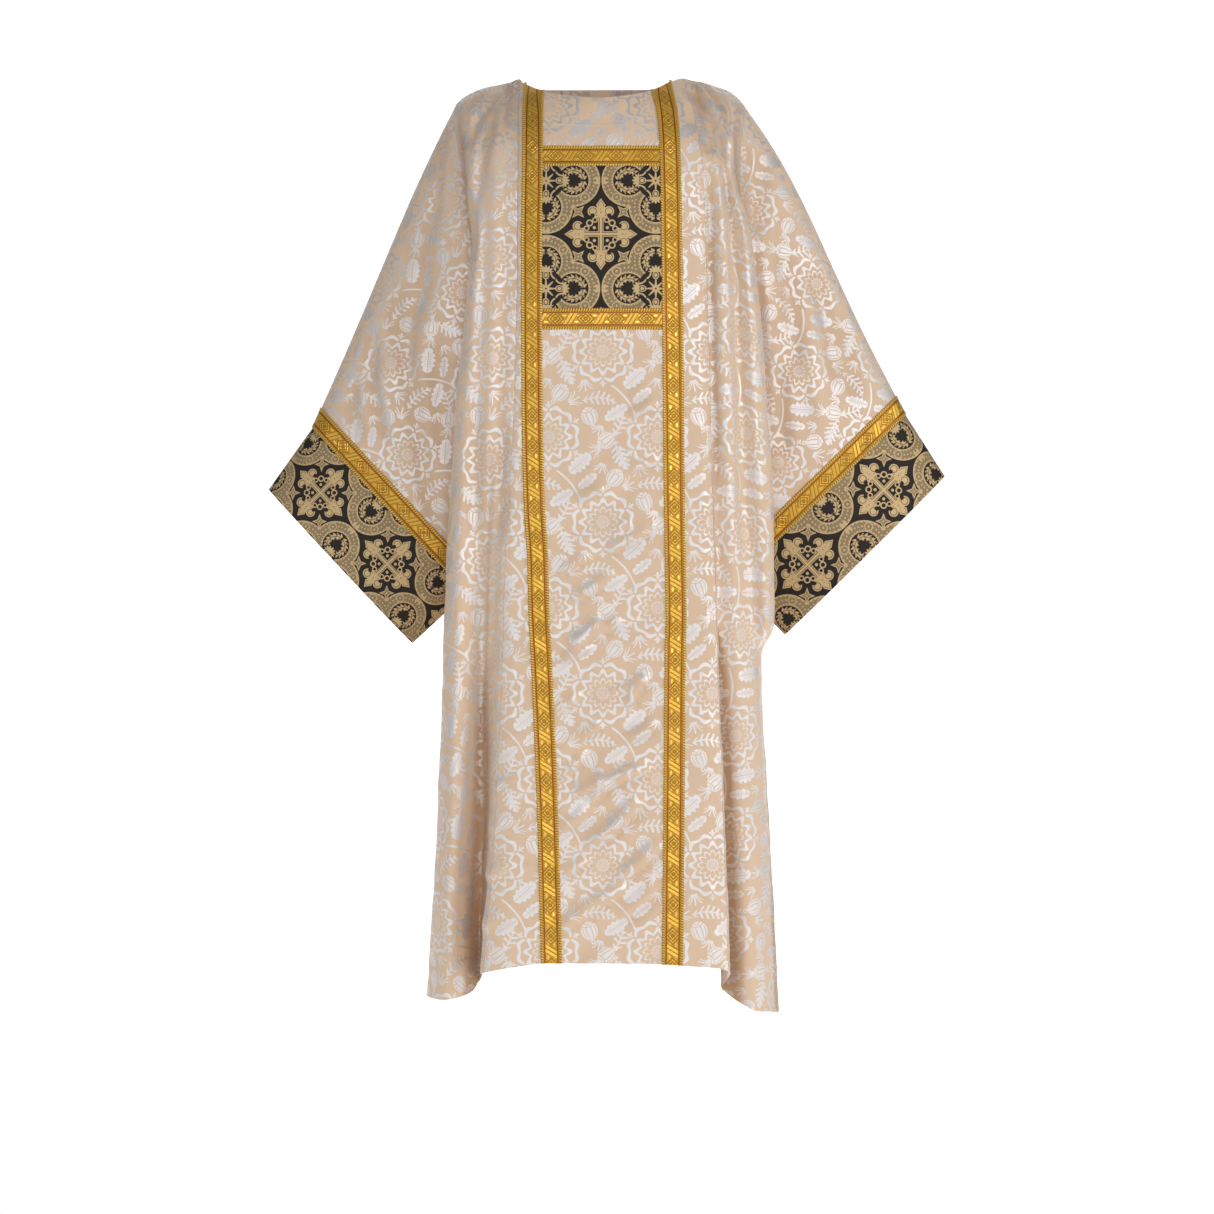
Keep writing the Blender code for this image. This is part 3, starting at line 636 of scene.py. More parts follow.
def fold_shade(net, creased):
    """0 on the open cloth of the front or back and 1 down in its folds, for each point."""
    x = net[..., 0]
    forward = np.abs(net[..., 1])
    reach = (x[:, :, None] - x[:, None, :]) / FOLD_REACH
    weight = np.exp(-reach ** 2) * np.abs(np.gradient(x, axis=1))[:, None, :]
    around = (weight * forward[:, None, :]).sum(axis=2) / weight.sum(axis=2)
    folds = clamp((around - forward) / FOLD_DEPTH)
    near_side = clamp(1.0 - from_edge(net) / CELLS[-1])[None, :]
    # Painted shade in the valley where the sleeve meets the body
    armhole = near_side * armhole_shade_share(ROWS)[:, None]
    return clamp(folds * (1.0 - near_side) + armhole + groove_share(creased))


def sleeve_shade(net, creased):
    """The same for a sleeve: its armhole lies behind the edge of the body."""
    far = np.linalg.norm(net - net[:1], axis=-1) / ARMHOLE_REACH
    # Painted shade beside the armhole, which lies behind the edge of the body
    armhole = np.exp(-far ** 2) * armhole_shade_share(-net[:1, :, 2] / CM)
    return clamp(armhole + groove_share(creased))


def arc_across(net, middle):
    """Width of the cloth from a column, along each row."""
    step = np.diff(net, axis=1)
    flat = np.sqrt(step[..., 0] ** 2 + step[..., 1] ** 2)
    arc = np.concatenate([np.zeros((len(net), 1)), np.cumsum(flat, axis=1)], axis=1)
    return arc - arc[:, middle:middle + 1]


def arc_up(net):
    """Height of the cloth, counted up each column from the hem."""
    step = np.diff(net, axis=0)
    length = np.sqrt(step[..., 1] ** 2 + step[..., 2] ** 2)
    below = np.cumsum(length[::-1], axis=0)[::-1]
    return net[-1, :, 2] + np.vstack([below, np.zeros((1, net.shape[1]))])


def turned(grain, anchor, degrees):
    """Pattern coordinates of a panel whose grain is turned, counter-clockwise, at an anchor."""
    angle = np.radians(degrees)
    x = grain[..., 0] - anchor[0]
    y = grain[..., 1] - anchor[1]
    return np.stack([x * np.cos(angle) + y * np.sin(angle), y * np.cos(angle) - x * np.sin(angle)], axis=-1)


def sleeve_grain(net, side):
    """Pattern coordinates of a sleeve: its grain runs along the cuff and over the top edge."""
    along = cuff_way(side)
    out = net @ outward(side)
    count = net.shape[1]
    step = np.roll(net, -1, axis=1) - net
    step_out = np.roll(out, -1, axis=1) - out
    run = np.sqrt(np.maximum(0.0, np.sum(step * step, axis=-1) - step_out ** 2))
    half = count // 2
    start = (net[:, 0] @ along)[:, None]
    down_front = start + np.concatenate([np.zeros((len(net), 1)), np.cumsum(run[:, :half], axis=1)], axis=1)
    up_back = np.cumsum(run[:, :half - 1:-1], axis=1)[:, ::-1]
    down_back = start - up_back
    pattern_y = -np.concatenate([down_front, down_back], axis=1)
    pattern_y = pattern_y[:, :count + 1]
    pattern_x = np.concatenate([out, out[:, :1]], axis=1) * (-1.0 if side == "left" else 1.0)
    return np.stack([pattern_x, pattern_y], axis=-1)


def inward(net, way, border, towards):
    """Directions from a border into the cloth, square to the border and within the surface."""
    line = net[border]
    back = net[towards] - line
    for direction in (unit(np.gradient(line, axis=0)), way[border]):
        back = back - direction * np.sum(back * direction, axis=-1, keepdims=True)
    return unit(back)


def cut_back(net, way, borders):
    """Moves each border of a net back by half a seam's gap."""
    for border, towards in borders:
        net[border] = net[border] + inward(net, way, border, towards) * SEAM_GAP / 2.0


SHARP_ANGLE = np.radians(60.0)

# Borders of a net, each with the line next to it
START_COLUMN = (slice(None), 0), (slice(None), 1)
END_COLUMN = (slice(None), -1), (slice(None), -2)
START_ROW = (0,), (1,)
END_ROW = (-1,), (-2,)


def shell(name, outer, inner, grain, finish, closed=False, shade=None):
    """A closed wall between two nets of points, with its pattern coordinates in metres."""
    rows, columns = outer.shape[:2]
    points = np.concatenate([outer.reshape(-1, 3), inner.reshape(-1, 3)])
    steps = columns if closed else columns - 1
    numbers, places = [], []

    def add(*corners):
        """Adds faces. A corner is its row, its column and its layer: 0 outside and 1 inside."""
        numbers.append(np.stack([
            layer * rows * columns + row * columns + col % columns for row, col, layer in corners
        ], axis=-1))
        places.append(np.stack([
            np.stack(np.broadcast_arrays(row, col), axis=-1) for row, col, layer in corners
        ], axis=1))

    row, col = np.meshgrid(np.arange(rows - 1), np.arange(steps), indexing="ij")
    row, col = row.ravel(), col.ravel()
    add((row, col, 0), (row + 1, col, 0), (row + 1, col + 1, 0), (row, col + 1, 0))
    add((row, col + 1, 1), (row + 1, col + 1, 1), (row + 1, col, 1), (row, col, 1))
    edge = np.arange(steps)
    for row, near, far in ((0, 1, 0), (rows - 1, 0, 1)):
        add((row, edge, near), (row, edge, far), (row, edge + 1, far), (row, edge + 1, near))
    if not closed:
        edge = np.arange(rows - 1)
        for col, near, far in ((0, 0, 1), (columns - 1, 1, 0)):
            add((edge, col, near), (edge, col, far), (edge + 1, col, far), (edge + 1, col, near))
    numbers = np.concatenate(numbers)
    places = np.concatenate(places)
    a, b, c, d = (points[numbers[:, k]] for k in range(4))
    if np.sum(np.cross(a, b) * c) + np.sum(np.cross(a, c) * d) < 0.0:
        numbers = numbers[:, ::-1]
        places = places[:, ::-1]
    spots = places.reshape(-1, 2)
    made = meshed(name, points, numbers.tolist(), grain[spots[:, 0], spots[:, 1]], finish)
    if shade is not None:
        layer = made.data.attributes.new("shade", "FLOAT", "POINT")
        layer.data.foreach_set("value", np.tile(shade.ravel(), 2))
    made.data.set_sharp_from_angle(angle=SHARP_ANGLE)
    return made


def meshed(name, points, faces, grain, finish):
    """A smooth mesh object with its pattern coordinates and its material."""
    mesh = bpy.data.meshes.new(name)
    mesh.from_pydata(points.tolist(), [], faces)
    mesh.uv_layers.new(name="grain").data.foreach_set("uv", np.ravel(grain))
    mesh.shade_smooth()
    mesh.materials.append(finish)
    return placed(name, mesh)


def placed(name, mesh):
    thing = bpy.data.objects.new(name, mesh)
    bpy.context.scene.collection.objects.link(thing)
    return thing


def tube(name, path, facing, closed):
    """A cord along a path, a little flat; its pattern coordinates run along and round it."""
    count = len(path)
    if closed:
        forward = unit(np.roll(path, -1, axis=0) - np.roll(path, 1, axis=0))
        gaps = np.linalg.norm(np.roll(path, -1, axis=0) - path, axis=1)
    else:
        forward = unit(np.gradient(path, axis=0))
        gaps = np.linalg.norm(np.diff(path, axis=0), axis=1)
    along = np.concatenate([[0.0], np.cumsum(gaps)])
    up = unit(facing - forward * np.sum(facing * forward, axis=-1, keepdims=True))
    aside = np.cross(forward, up)
    angles = np.arange(CORD_SIDES) * 2.0 * np.pi / CORD_SIDES
    rings = path[:, None] + CORD_RADIUS * (
        CORD_FLATNESS * up[:, None] * np.cos(angles)[None, :, None]
        + aside[:, None] * np.sin(angles)[None, :, None]
    )
    faces, grain = [], []
    for ring in range(count if closed else count - 1):
        here = ring * CORD_SIDES
        after = (ring + 1) % count * CORD_SIDES
        for k in range(CORD_SIDES):
            m = (k + 1) % CORD_SIDES
            faces.append((here + k, here + m, after + m, after + k))
            a, b = along[ring], along[ring + 1]
            u, v = k / CORD_SIDES, (k + 1) / CORD_SIDES
            grain += [(a, u), (a, v), (b, v), (b, u)]
    if not closed:
        faces.append(tuple(range(CORD_SIDES))[::-1])
        faces.append(tuple(range((count - 1) * CORD_SIDES, count * CORD_SIDES)))
        grain += [(0.0, 0.0)] * CORD_SIDES * 2
    made = meshed(name, rings.reshape(-1, 3), faces, grain, CORD)
    face_out(made)
    return made


def face_out(thing):
    """Turns a closed mesh's faces outward."""
    work = bmesh.new()
    work.from_mesh(thing.data)
    bmesh.ops.recalc_face_normals(work, faces=work.faces)
    work.to_mesh(thing.data)
    work.free()


def joined(things):
    """One object from several; the first keeps its name."""
    with bpy.context.temp_override(
        active_object=things[0], selected_editable_objects=things, object=things[0]
    ):
        bpy.ops.object.join()
    return things[0]


# Width of a motif's soft edge, in centimetres
SOFT = 0.05


def set_inputs(tree, node, values):
    """Sets a node's inputs: by a link where another node gives the value, or on the socket."""
    for name, value in values.items():
        if isinstance(value, Number):
            value = value.socket
        if isinstance(value, bpy.types.NodeSocket):
            tree.links.new(value, node.inputs[name])
        else:
            node.inputs[name].default_value = value


class Number:
    """A number in a node tree that can be reckoned with like a Python number."""

    def __init__(self, tree, socket):
        self.tree = tree
        self.socket = socket

    def via(self, operation, *others, clamp=False):
        node = self.tree.nodes.new("ShaderNodeMath")
        node.operation = operation
        node.use_clamp = clamp
        set_inputs(self.tree, node, dict(enumerate((self,) + others)))
        return Number(self.tree, node.outputs[0])

    def __add__(self, other):
        return self.via("ADD", other)

    def __sub__(self, other):
        return self.via("SUBTRACT", other)

    def __mul__(self, other):
        return self.via("MULTIPLY", other)

    def __truediv__(self, other):
        return self.via("DIVIDE", other)

    def times_plus(self, factor, extra):
        return self.via("MULTIPLY_ADD", factor, extra)

    def abs(self):
        return self.via("ABSOLUTE")

    def sin(self):
        return self.via("SINE")

    def cos(self):
        return self.via("COSINE")

    def root(self):
        return self.via("SQRT")

    def round(self):
        return self.via("ROUND")

    def most(self, other):
        return self.via("MAXIMUM", other)

    def least(self, other):
        return self.via("MINIMUM", other)

    def below(self, edge, soft=SOFT):
        """1 below the edge and 0 above it, with a soft step."""
        if isinstance(edge, Number):
            return edge.above(self, soft)
        return self.via("MULTIPLY_ADD", -1.0 / soft, edge / soft + 0.5, clamp=True)

    def above(self, edge, soft=SOFT):
        if isinstance(edge, Number):
            return (self - edge).via("MULTIPLY_ADD", 1.0 / soft, 0.5, clamp=True)
        return self.via("MULTIPLY_ADD", 1.0 / soft, 0.5 - edge / soft, clamp=True)


def away(x, y):
    """Distance from the point (0, 0)."""
    return (x * x + y * y).root()


def flipped(mask):
    return mask.via("MULTIPLY_ADD", -1.0, 1.0)


def spun(x, y, degrees):
    """The coordinates of a motif that is turned counter-clockwise."""
    c = float(np.cos(np.radians(degrees)))
    s = float(np.sin(np.radians(degrees)))
    return x * c + y * s, y * c - x * s


def new_material(name):
    made = bpy.data.materials.new(name)
    made.use_nodes = True
    return made, made.node_tree, made.node_tree.nodes["Principled BSDF"]


def grain_centimetres(tree):
    """The cloth's own coordinates, in centimetres."""
    uv = tree.nodes.new("ShaderNodeUVMap")
    uv.uv_map = "grain"
    parts = tree.nodes.new("ShaderNodeSeparateXYZ")
    tree.links.new(uv.outputs[0], parts.inputs[0])
    return Number(tree, parts.outputs[0]) * 100.0, Number(tree, parts.outputs[1]) * 100.0


def mixed(tree, amount, first, second):
    """A colour between two colours; each is four numbers or a socket."""
    node = tree.nodes.new("ShaderNodeMix")
    node.data_type = "RGBA"
    set_inputs(tree, node, {"Factor": amount, 6: first, 7: second})
    return node.outputs[2]


def mixed_number(amount, first, second):
    """A number between two numbers."""
    return amount * (second - first) + first


def bump(tree, high, distance):
    node = tree.nodes.new("ShaderNodeBump")
    set_inputs(tree, node, {"Height": high, "Distance": distance, "Strength": 1.0})
    return node.outputs[0]


# The damask's repeat, in centimetres
REPEAT_WIDTH = 13.8
REPEAT_HEIGHT = 21.6


def nearest(x, y, centre_x, centre_y):
    """Coordinates from the nearest of a motif's places in the half-drop repeat."""
    half = REPEAT_HEIGHT / 2.0
    row = ((y - centre_y) * (1.0 / half)).round()
    odd = row.via("PINGPONG", 1.0)
    near_y = row.times_plus(-half, y - centre_y)
    near_x = odd.times_plus(-REPEAT_WIDTH / 2.0, x - centre_x)
    turn = (near_x * (1.0 / REPEAT_WIDTH)).round()
    return turn.times_plus(-REPEAT_WIDTH, near_x), near_y


def band(distance, middle, half_width):
    """A line at a distance, with soft edges."""
    return (distance - middle).abs().below(half_width)


def rosette(x, y):
    """Two waved rings, two star rings and small drops round them."""
    reach = away(x, y)
    angle = x.via("ARCTAN2", y)
    twelve = (angle * 12.0).cos()
    six = (angle * 6.0).cos()
    outer_half = twelve.times_plus(-0.05, 0.21)
    outer = ((reach - (twelve * -0.16 + six * -0.09 + 3.60)).abs()).below(outer_half, 0.06)
    second_half = twelve.times_plus(0.07, 0.235)
    second = ((reach - (twelve * 0.30 + 2.50)).abs()).below(second_half, 0.06)
    point = six.abs() * 0.60
    third = band(reach, point + 1.24, 0.115)
    heart = band(reach, point * -0.5 + 0.88, 0.075)
    threads = ((x * 20.0).sin() * (y * 20.0).sin()).above(0.05, 0.3) * reach.below(0.45, 0.1) * 0.8
    sector = (angle * (3.0 / np.pi)).round()
    turned_angle = sector.times_plus(-np.pi / 3.0, angle)
    along = reach * turned_angle.cos()
    aside = (reach * turned_angle.sin()).abs()
    drop = away((along - 4.22) * 0.55, aside).below(0.15)
    horn = band(away(along - 3.72, aside - 0.42), 0.36, 0.07) * aside.below(0.45, 0.1)
    horn = horn * along.above(3.65, 0.1)
    gap = aside.above(0.13, 0.06).most(reach.below(3.1, 0.1))
    return (outer * gap).most(second).most(third).most(heart).most(threads).most(drop).most(horn)


def bud(x, y, degrees):
    """A pomegranate with curved ribs, a crown and a round eye at its foot."""
    x, y = spun(x, y, degrees)
    wide = x * (1.0 / 1.02)
    tall = y * (1.0 / 1.20)
    body = away(wide, tall).below(1.0)
    width_here = (tall * tall).via("MULTIPLY_ADD", -1.0, 1.0).most(0.04).root()
    rib = (wide / width_here).abs()
    ribs = band(rib, 0.34, 0.075).most(band(rib, 0.78, 0.06)) * tall.below(0.42)
    cap = band(tall - (wide * wide) * 0.5, 0.42, 0.055)
    crown = band((wide * 7.0).cos() * 0.14 + tall, 0.78, 0.05)
    eye = band(away(x, y + 1.46), 0.21, 0.075)
    return (body * flipped(ribs.most(cap).most(crown))).most(eye)


def leaf(x, y, degrees, length, width):
    """A pointed leaf with a lobed edge, and a midrib with berry-like holes along it."""
    x, y = spun(x, y, degrees)
    along = x * (1.0 / length)
    inside = (along * flipped(along)).most(0.0)
    lobes = (x * 4.4).sin().abs() * 0.42 + 0.70
    half = inside.root() * lobes * (2.0 * width)
    blade = y.abs().below(half, 0.07) * along.above(0.0, 0.03) * along.below(1.0, 0.03)
    rib = y.abs().below(0.05) * along.below(0.86)
    holes = away(((x * 1.45).via("PINGPONG", 0.5) - 0.25) * 1.3, y.abs() - width * 0.34)
    holes = holes.below(0.10, 0.06) * along.above(0.2) * along.below(0.8)
    return blade * flipped(rib.most(holes * 0.9))


def sprig(x, y, degrees, length, bend):
    """A feathery twig: a bent stem with curved hairs on both sides."""
    x, y = spun(x, y, degrees)
    y = (x * x).times_plus(-bend, y)
    end = x.abs() * (2.0 / length)
    stem = y.abs().below(0.085) * end.below(1.05)
    reach = (end * end).via("MULTIPLY_ADD", -0.62, 0.86)
    curve = (y * y) * 2.6 + y.abs() * -6.6
    hairs = (x * 9.0 + curve).sin().above(0.28, 0.45) * y.abs().below(reach, 0.08)
    return stem.most(hairs * end.below(0.98))


def tuft(x, y, degrees, length):
    """Five hairs that spread from one point and bend outward."""
    x, y = spun(x, y, degrees)
    up = y * (1.0 / length)
    spread = (up * up) * (0.62 * length) + 0.16
    rank = (x / spread).via("ROUND")
    hair = (x - rank * spread).abs().below(0.085) * rank.abs().below(2.4, 0.1)
    tall = (rank * rank).times_plus(-0.10, 1.0)
    return hair * up.above(0.0) * up.below(tall)


def stalk(x, y, length):
    """A stem that bends down and to the right from a leaf's foot."""
    x, y = spun(x, y, -52.0)
    bow = (x * x).times_plus(0.07, y) - 0.2
    return bow.abs().below(0.12) * x.abs().below(length / 2.0)


# Motifs between the rosettes: kind, place right and up from a rosette's centre, turn and
# sizes, in centimetres and degrees
DAMASK_MOTIFS = (
    (bud, -1.7, -8.2, (20.0,)),
    (bud, 0.4, -11.3, (128.0,)),
    (bud, 1.5, 5.6, (-38.0,)),
    (leaf, 2.7, -4.55, (42.0, 3.5, 0.92)),
    (leaf, 3.8, -6.5, (38.0, 2.9, 0.60)),
    (leaf, 3.1, -6.8, (213.0, 3.4, 0.74)),
    (stalk, 2.75, -6.1, (4.9,)),
    (sprig, -0.4, -5.85, (-4.0, 4.1, -0.12)),
    (sprig, -4.9, -2.5, (-68.0, 3.7, 0.10)),
    (sprig, 2.2, -9.3, (66.0, 2.6, 0.10)),
    (sprig, 2.5, -13.5, (-72.0, 3.0, 0.08)),
    (tuft, -2.4, -3.6, (190.0, 1.5)),
    (tuft, -0.3, -9.4, (165.0, 1.3)),
    (tuft, -0.4, -12.2, (118.0, 1.4)),
    (tuft, 0.0, -14.2, (160.0, 1.3)),
    (tuft, 2.6, 4.3, (-60.0, 1.6)),
)


def damask_figure(x, y):
    figure = rosette(*nearest(x, y, 0.0, 0.0))
    for motif, right, up, sizes in DAMASK_MOTIFS:
        figure = figure.most(motif(*nearest(x, y, right, up), *sizes))
    return figure


# Colours of the open cloth, and painted shade for the cloth deep in a fold, warm as its own tint lights it
DAMASK_GROUND = (0.85, 0.63, 0.445, 1.0)
DAMASK_FIGURE = (0.88, 0.845, 0.845, 1.0)
PAINTED_SHADE_GROUND = (0.50, 0.30, 0.17, 1.0)
PAINTED_SHADE_FIGURE = (0.62, 0.50, 0.42, 1.0)


def damask(name):
    made, tree, shader = new_material(name)
    x, y = grain_centimetres(tree)
    figure = damask_figure(x, y)
    layer = tree.nodes.new("ShaderNodeAttribute")
    layer.attribute_name = "shade"
    shade = Number(tree, layer.outputs["Fac"])
    # The shade attribute paints shade into the folds, the crease grooves and the armhole's valley: ground
    # and figure move to their painted shade colours
    ground = mixed(tree, shade, DAMASK_GROUND, PAINTED_SHADE_GROUND)
    colour = mixed(tree, figure, ground, mixed(tree, shade, DAMASK_FIGURE, PAINTED_SHADE_FIGURE))
    weave = (x * 170.0).sin() * (y * 125.0).sin() * 0.5
    set_inputs(tree, shader, {
        "Base Color": colour,
        "Metallic": figure * 0.72,
        "Roughness": figure.times_plus(-0.24, 0.60),
        "Specular IOR Level": 0.35,
        "Sheen Weight": 0.25,
        "Sheen Roughness": 0.45,
        "Normal": bump(tree, weave, 0.00006),
    })
    return made


# The brocade's repeat and its colours
TILE = 13.9
BROCADE_BLACK = (0.009, 0.007, 0.008, 1.0)
BROCADE_GOLD = (0.75, 0.54, 0.28, 1.0)
BROCADE_DULL = (0.38, 0.28, 0.155, 1.0)


def brocade(name, repeat=TILE):
    """Quatrefoils of banded rings round leaves, buds and a star, with a cross in each field."""
    made, tree, shader = new_material(name)
    x, y = grain_centimetres(tree)
    x, y = x * (TILE / repeat), y * (TILE / repeat)
    cell_x = (x * (1.0 / TILE)).round().times_plus(-TILE, x).abs()
    cell_y = (y * (1.0 / TILE)).round().times_plus(-TILE, y).abs()
    far = cell_x.most(cell_y)
    near = cell_x.least(cell_y)
    star_x = cell_x.via("MULTIPLY_ADD", -1.0, TILE / 2.0)
    star_y = cell_y.via("MULTIPLY_ADD", -1.0, TILE / 2.0)
    out = star_x.most(star_y)
    side = star_x.least(star_y)

    # The quatrefoil: a ring band round four lobes, with light borders, medals and dots
    lobe = away(out - 3.45, side)
    turn = side.via("ARCTAN2", out - 3.45)
    core = away(out, side)
    hollow = lobe.below(1.95, 0.06).most(core.below(2.35, 0.06))
    ring = lobe.below(3.42, 0.06) * flipped(hollow)
    rim = ring * (lobe.above(3.25).most(lobe.below(2.10) * core.above(2.35)))
    dots = ((turn * 17.0).sin() * ((lobe - 2.68) * 5.6).cos()).abs().above(0.70, 0.15)
    medal_place = away(out - 4.95, side - 2.2)
    medal = band(medal_place, 0.52, 0.075).most(medal_place.below(0.16, 0.06))
    plain = medal_place.below(0.62, 0.06)
    edge = far.via("MULTIPLY_ADD", -1.0, TILE / 2.0)
    floret_place = away(near, edge)
    floret_turn = near.via("ARCTAN2", edge)
    floret = floret_place.below((floret_turn * 6.0).cos() * 0.16 + 0.72, 0.06)
    floret = floret * flipped(band(floret_place, 0.24, 0.06))

    # In each lobe: two toothed leaves that meet at its tip, and a bud on its axis
    teeth = (turn * 2.9).via("FRACT")
    leaves = lobe.below(teeth * 0.42 + 1.42, 0.06) * lobe.above((turn * 5.5).sin().abs() * 0.28 + 0.74, 0.06)
    leaves = leaves * flipped(band(lobe, 1.28, 0.04)) * side.above(0.13, 0.06) * turn.below(2.35, 0.1)
    veins = (lobe.times_plus(5.5, turn * 9.0)).sin().above(0.72, 0.2) * leaves
    stems = band(away(out - 2.1, side - 1.55), 0.92, 0.10) * (out - side).above(0.1, 0.1)
    stems = stems * out.below(2.2, 0.1)
    bud_body = away((out - 1.72) * 0.78, side)
    seed = bud_body.below(0.42) * flipped(band(bud_body, 0.25, 0.045))
    petal_turn = side.via("ARCTAN2", out - 2.0)
    petals = away(out - 2.0, side).below((petal_turn * 6.5).cos().abs() * 0.34 + 0.66)
    petals = petals * out.above(2.12)
    ray = side.least((out - side).abs() * 0.7071)
    star = ray.below(core.via("MULTIPLY_ADD", -0.10, 0.19)) * core.below(1.25, 0.08)
    star = star * core.above(0.12, 0.06)
    clear = away(out - 2.0, side).above(1.10)
    inner = ((leaves * clear).most(stems).most(seed).most(petals).most(star)) * hollow

    # The field: a cross with leafed ends and openwork between its arms, and square fleurs
    bar = near.below(0.34) * flipped(band(near, 0.19, 0.035)) * far.below(2.7, 0.06)
    curl = away(far - 2.92, near - 1.02)
    scrolls = curl.below(0.66, 0.06) * flipped(band(curl, 0.45, 0.035))
    scrolls = scrolls * away(far - 2.35, near - 1.05).above(0.30)
    tip = near * 1.45 + (far - 3.72).abs()
    point = tip.below(0.90) * flipped(band(tip, 0.58, 0.04))
    neck = near.below(0.52) * far.above(2.35) * far.below(3.55)
    neck = neck * flipped(near.below(0.05, 0.04) * far.above(2.6))
    collar = near.below(0.82, 0.06) * (far - 2.22).abs().below(0.13)
    loops = band(away(far - 1.42, near - 1.42), 0.36, 0.085)
    loops = loops.most(band(away(far - 1.80, near - 0.74), 0.28, 0.075))
    loops = loops.most(away(far - 0.82, near - 0.82).below(0.20))
    cross = bar.most(scrolls).most(point).most(neck).most(collar).most(loops)
    across_x = (near - 2.88).abs()
    across_y = (far - 2.88).abs()
    fleur = (across_x.most(across_y)).below((across_x.least(across_y)) * 0.45 + 0.42)
    fleur_edge = fleur * (across_x.most(across_y)).above((across_x.least(across_y)) * 0.45 + 0.28)
    field = flipped(lobe.below(3.42, 0.06))
    figure = (cross.most(fleur_edge).most(fleur * away(across_x, across_y).below(0.13))) * field

    # Light figure, dull bands and shades, and a black ground with its own fine weave
    band_figure = medal.most(dots * flipped(plain))
    bright = figure.most(inner * flipped(veins * 0.55)).most(rim).most(ring * band_figure)
    bright = bright.most(floret * ring)
    dull = ring.most(fleur * field) * flipped(bright)
    twill = ((x + y) * 62.0).sin() * 0.5 + 0.5
    picks = (y * 88.0).sin() * 0.5 + 0.5
    dull_share = dull * (picks * 0.35 + 0.65)
    base = mixed(tree, dull_share.most(twill * 0.06), BROCADE_BLACK, BROCADE_DULL)
    set_inputs(tree, shader, {
        "Base Color": mixed(tree, bright * (picks * 0.22 + 0.78), base, BROCADE_GOLD),
        "Metallic": bright * 0.3,
        "Roughness": bright * -0.12 + 0.62,
        "Specular IOR Level": 0.3,
        "Normal": bump(tree, bright * 0.7 + dull * 0.35 + twill * 0.2, 0.00025),
    })
    return made


# The galloon's repeat along its length, in centimetres, and its colours
KNOT_PERIOD = 3.85
GALLOON_GOLD = (0.97, 0.58, 0.08, 1.0)
# The galloon's deep colour is its darker woven ground, and also painted shade in the gaps of the painted
# rope along its edges
GALLOON_DEEP = (0.38, 0.165, 0.015, 1.0)
GALLOON_LINE = (0.33, 0.09, 0.01, 1.0)
CORD_GOLD = (1.0, 0.66, 0.12, 1.0)
# The cord's second colour is painted shade for the grooves between its twists
CORD_GROOVE_SHADE = (0.40, 0.17, 0.02, 1.0)
THREAD_PALE = (0.93, 0.84, 0.74, 1.0)
THREAD_DEEP = (0.35, 0.25, 0.18, 1.0)


def galloon(name):
    """Pairs of slanted satin bars and latticed knots in turn, between red-brown lines."""
    made, tree, shader = new_material(name)
    across, along = grain_centimetres(tree)
    wide = across.abs()
    slanted = across.times_plus(0.62, along)
    bar_place = (slanted * (1.0 / KNOT_PERIOD)).round().times_plus(-KNOT_PERIOD, slanted)
    bar_zone = bar_place.abs().below(0.50, 0.06)
    satin = (across.times_plus(8.0, along * 34.0)).sin() * 0.14 + 0.82
    bars = satin * bar_place.abs().above(0.06, 0.06)
    knot_place = ((along * (1.0 / KNOT_PERIOD) + 0.5).round() - 0.5).times_plus(-KNOT_PERIOD, along)
    diamond = knot_place.abs() + wide
    rings = (diamond * 15.0).cos() * 0.5 + 0.5
    arms = (knot_place.abs() - wide).abs().above(0.07, 0.08)
    knot = rings * (arms * 0.75 + 0.25)
    side_leaf = away(knot_place.abs() * 0.45 - 0.52, wide - 0.40).below(0.16, 0.08)
    knot = (knot * diamond.below(1.15, 0.2)).most(side_leaf * 0.9)
    ribs = ((along * 24.0 + wide * -18.0).sin() * 0.22 + 0.42) * diamond.above(1.15, 0.2)
    outline = band(bar_place.abs(), 0.56, 0.055)
    centre = mixed_number(bar_zone, knot.most(ribs), bars) * flipped(outline * 0.8)
    inside = wide.below(0.71, 0.04)
    line = band(wide, 0.80, 0.075)
    # A twisted rope painted along the outer edges, under the cords; its dark gaps are painted shade between
    # the twists
    rope = ((along * 19.0) + wide * 12.0).sin() * 0.5 + 0.5
    high = centre * inside + rope * wide.above(0.90)
    gold = mixed(tree, high.via("MULTIPLY_ADD", 0.95, 0.05, clamp=True), GALLOON_DEEP, GALLOON_GOLD)
    set_inputs(tree, shader, {
        "Base Color": mixed(tree, line, gold, GALLOON_LINE),
        "Metallic": 0.6,
        "Roughness": high * -0.14 + 0.42,
        "Specular IOR Level": 0.5,
        "Normal": bump(tree, high, 0.0005),
    })
    return made


def cord_gold(name):
    """Twisted gold thread, with painted shade in the grooves between its twists."""
    made, tree, shader = new_material(name)
    along, around = grain_centimetres(tree)
    # The twist: gold on the strands and painted shade in the grooves between them; the same pattern is the
    # bump
    twist = (along.times_plus(19.0, around * 0.0628)).sin().above(-0.35, 0.9)
    strands = (along.times_plus(-60.0, around * 0.31)).sin() * 0.12 + 0.88
    set_inputs(tree, shader, {
        "Base Color": mixed(tree, twist * strands, CORD_GROOVE_SHADE, CORD_GOLD),
        "Metallic": 0.4,
        "Roughness": 0.34,
        "Normal": bump(tree, twist, 0.0007),
    })
    return made


def thread(name):
    made, tree, shader = new_material(name)
    along = grain_centimetres(tree)[1]
    tint = (along * 40.0).sin() * 0.12 + 0.12
    set_inputs(tree, shader, {"Base Color": mixed(tree, tint, THREAD_PALE, THREAD_DEEP), "Roughness": 0.6})
    return made


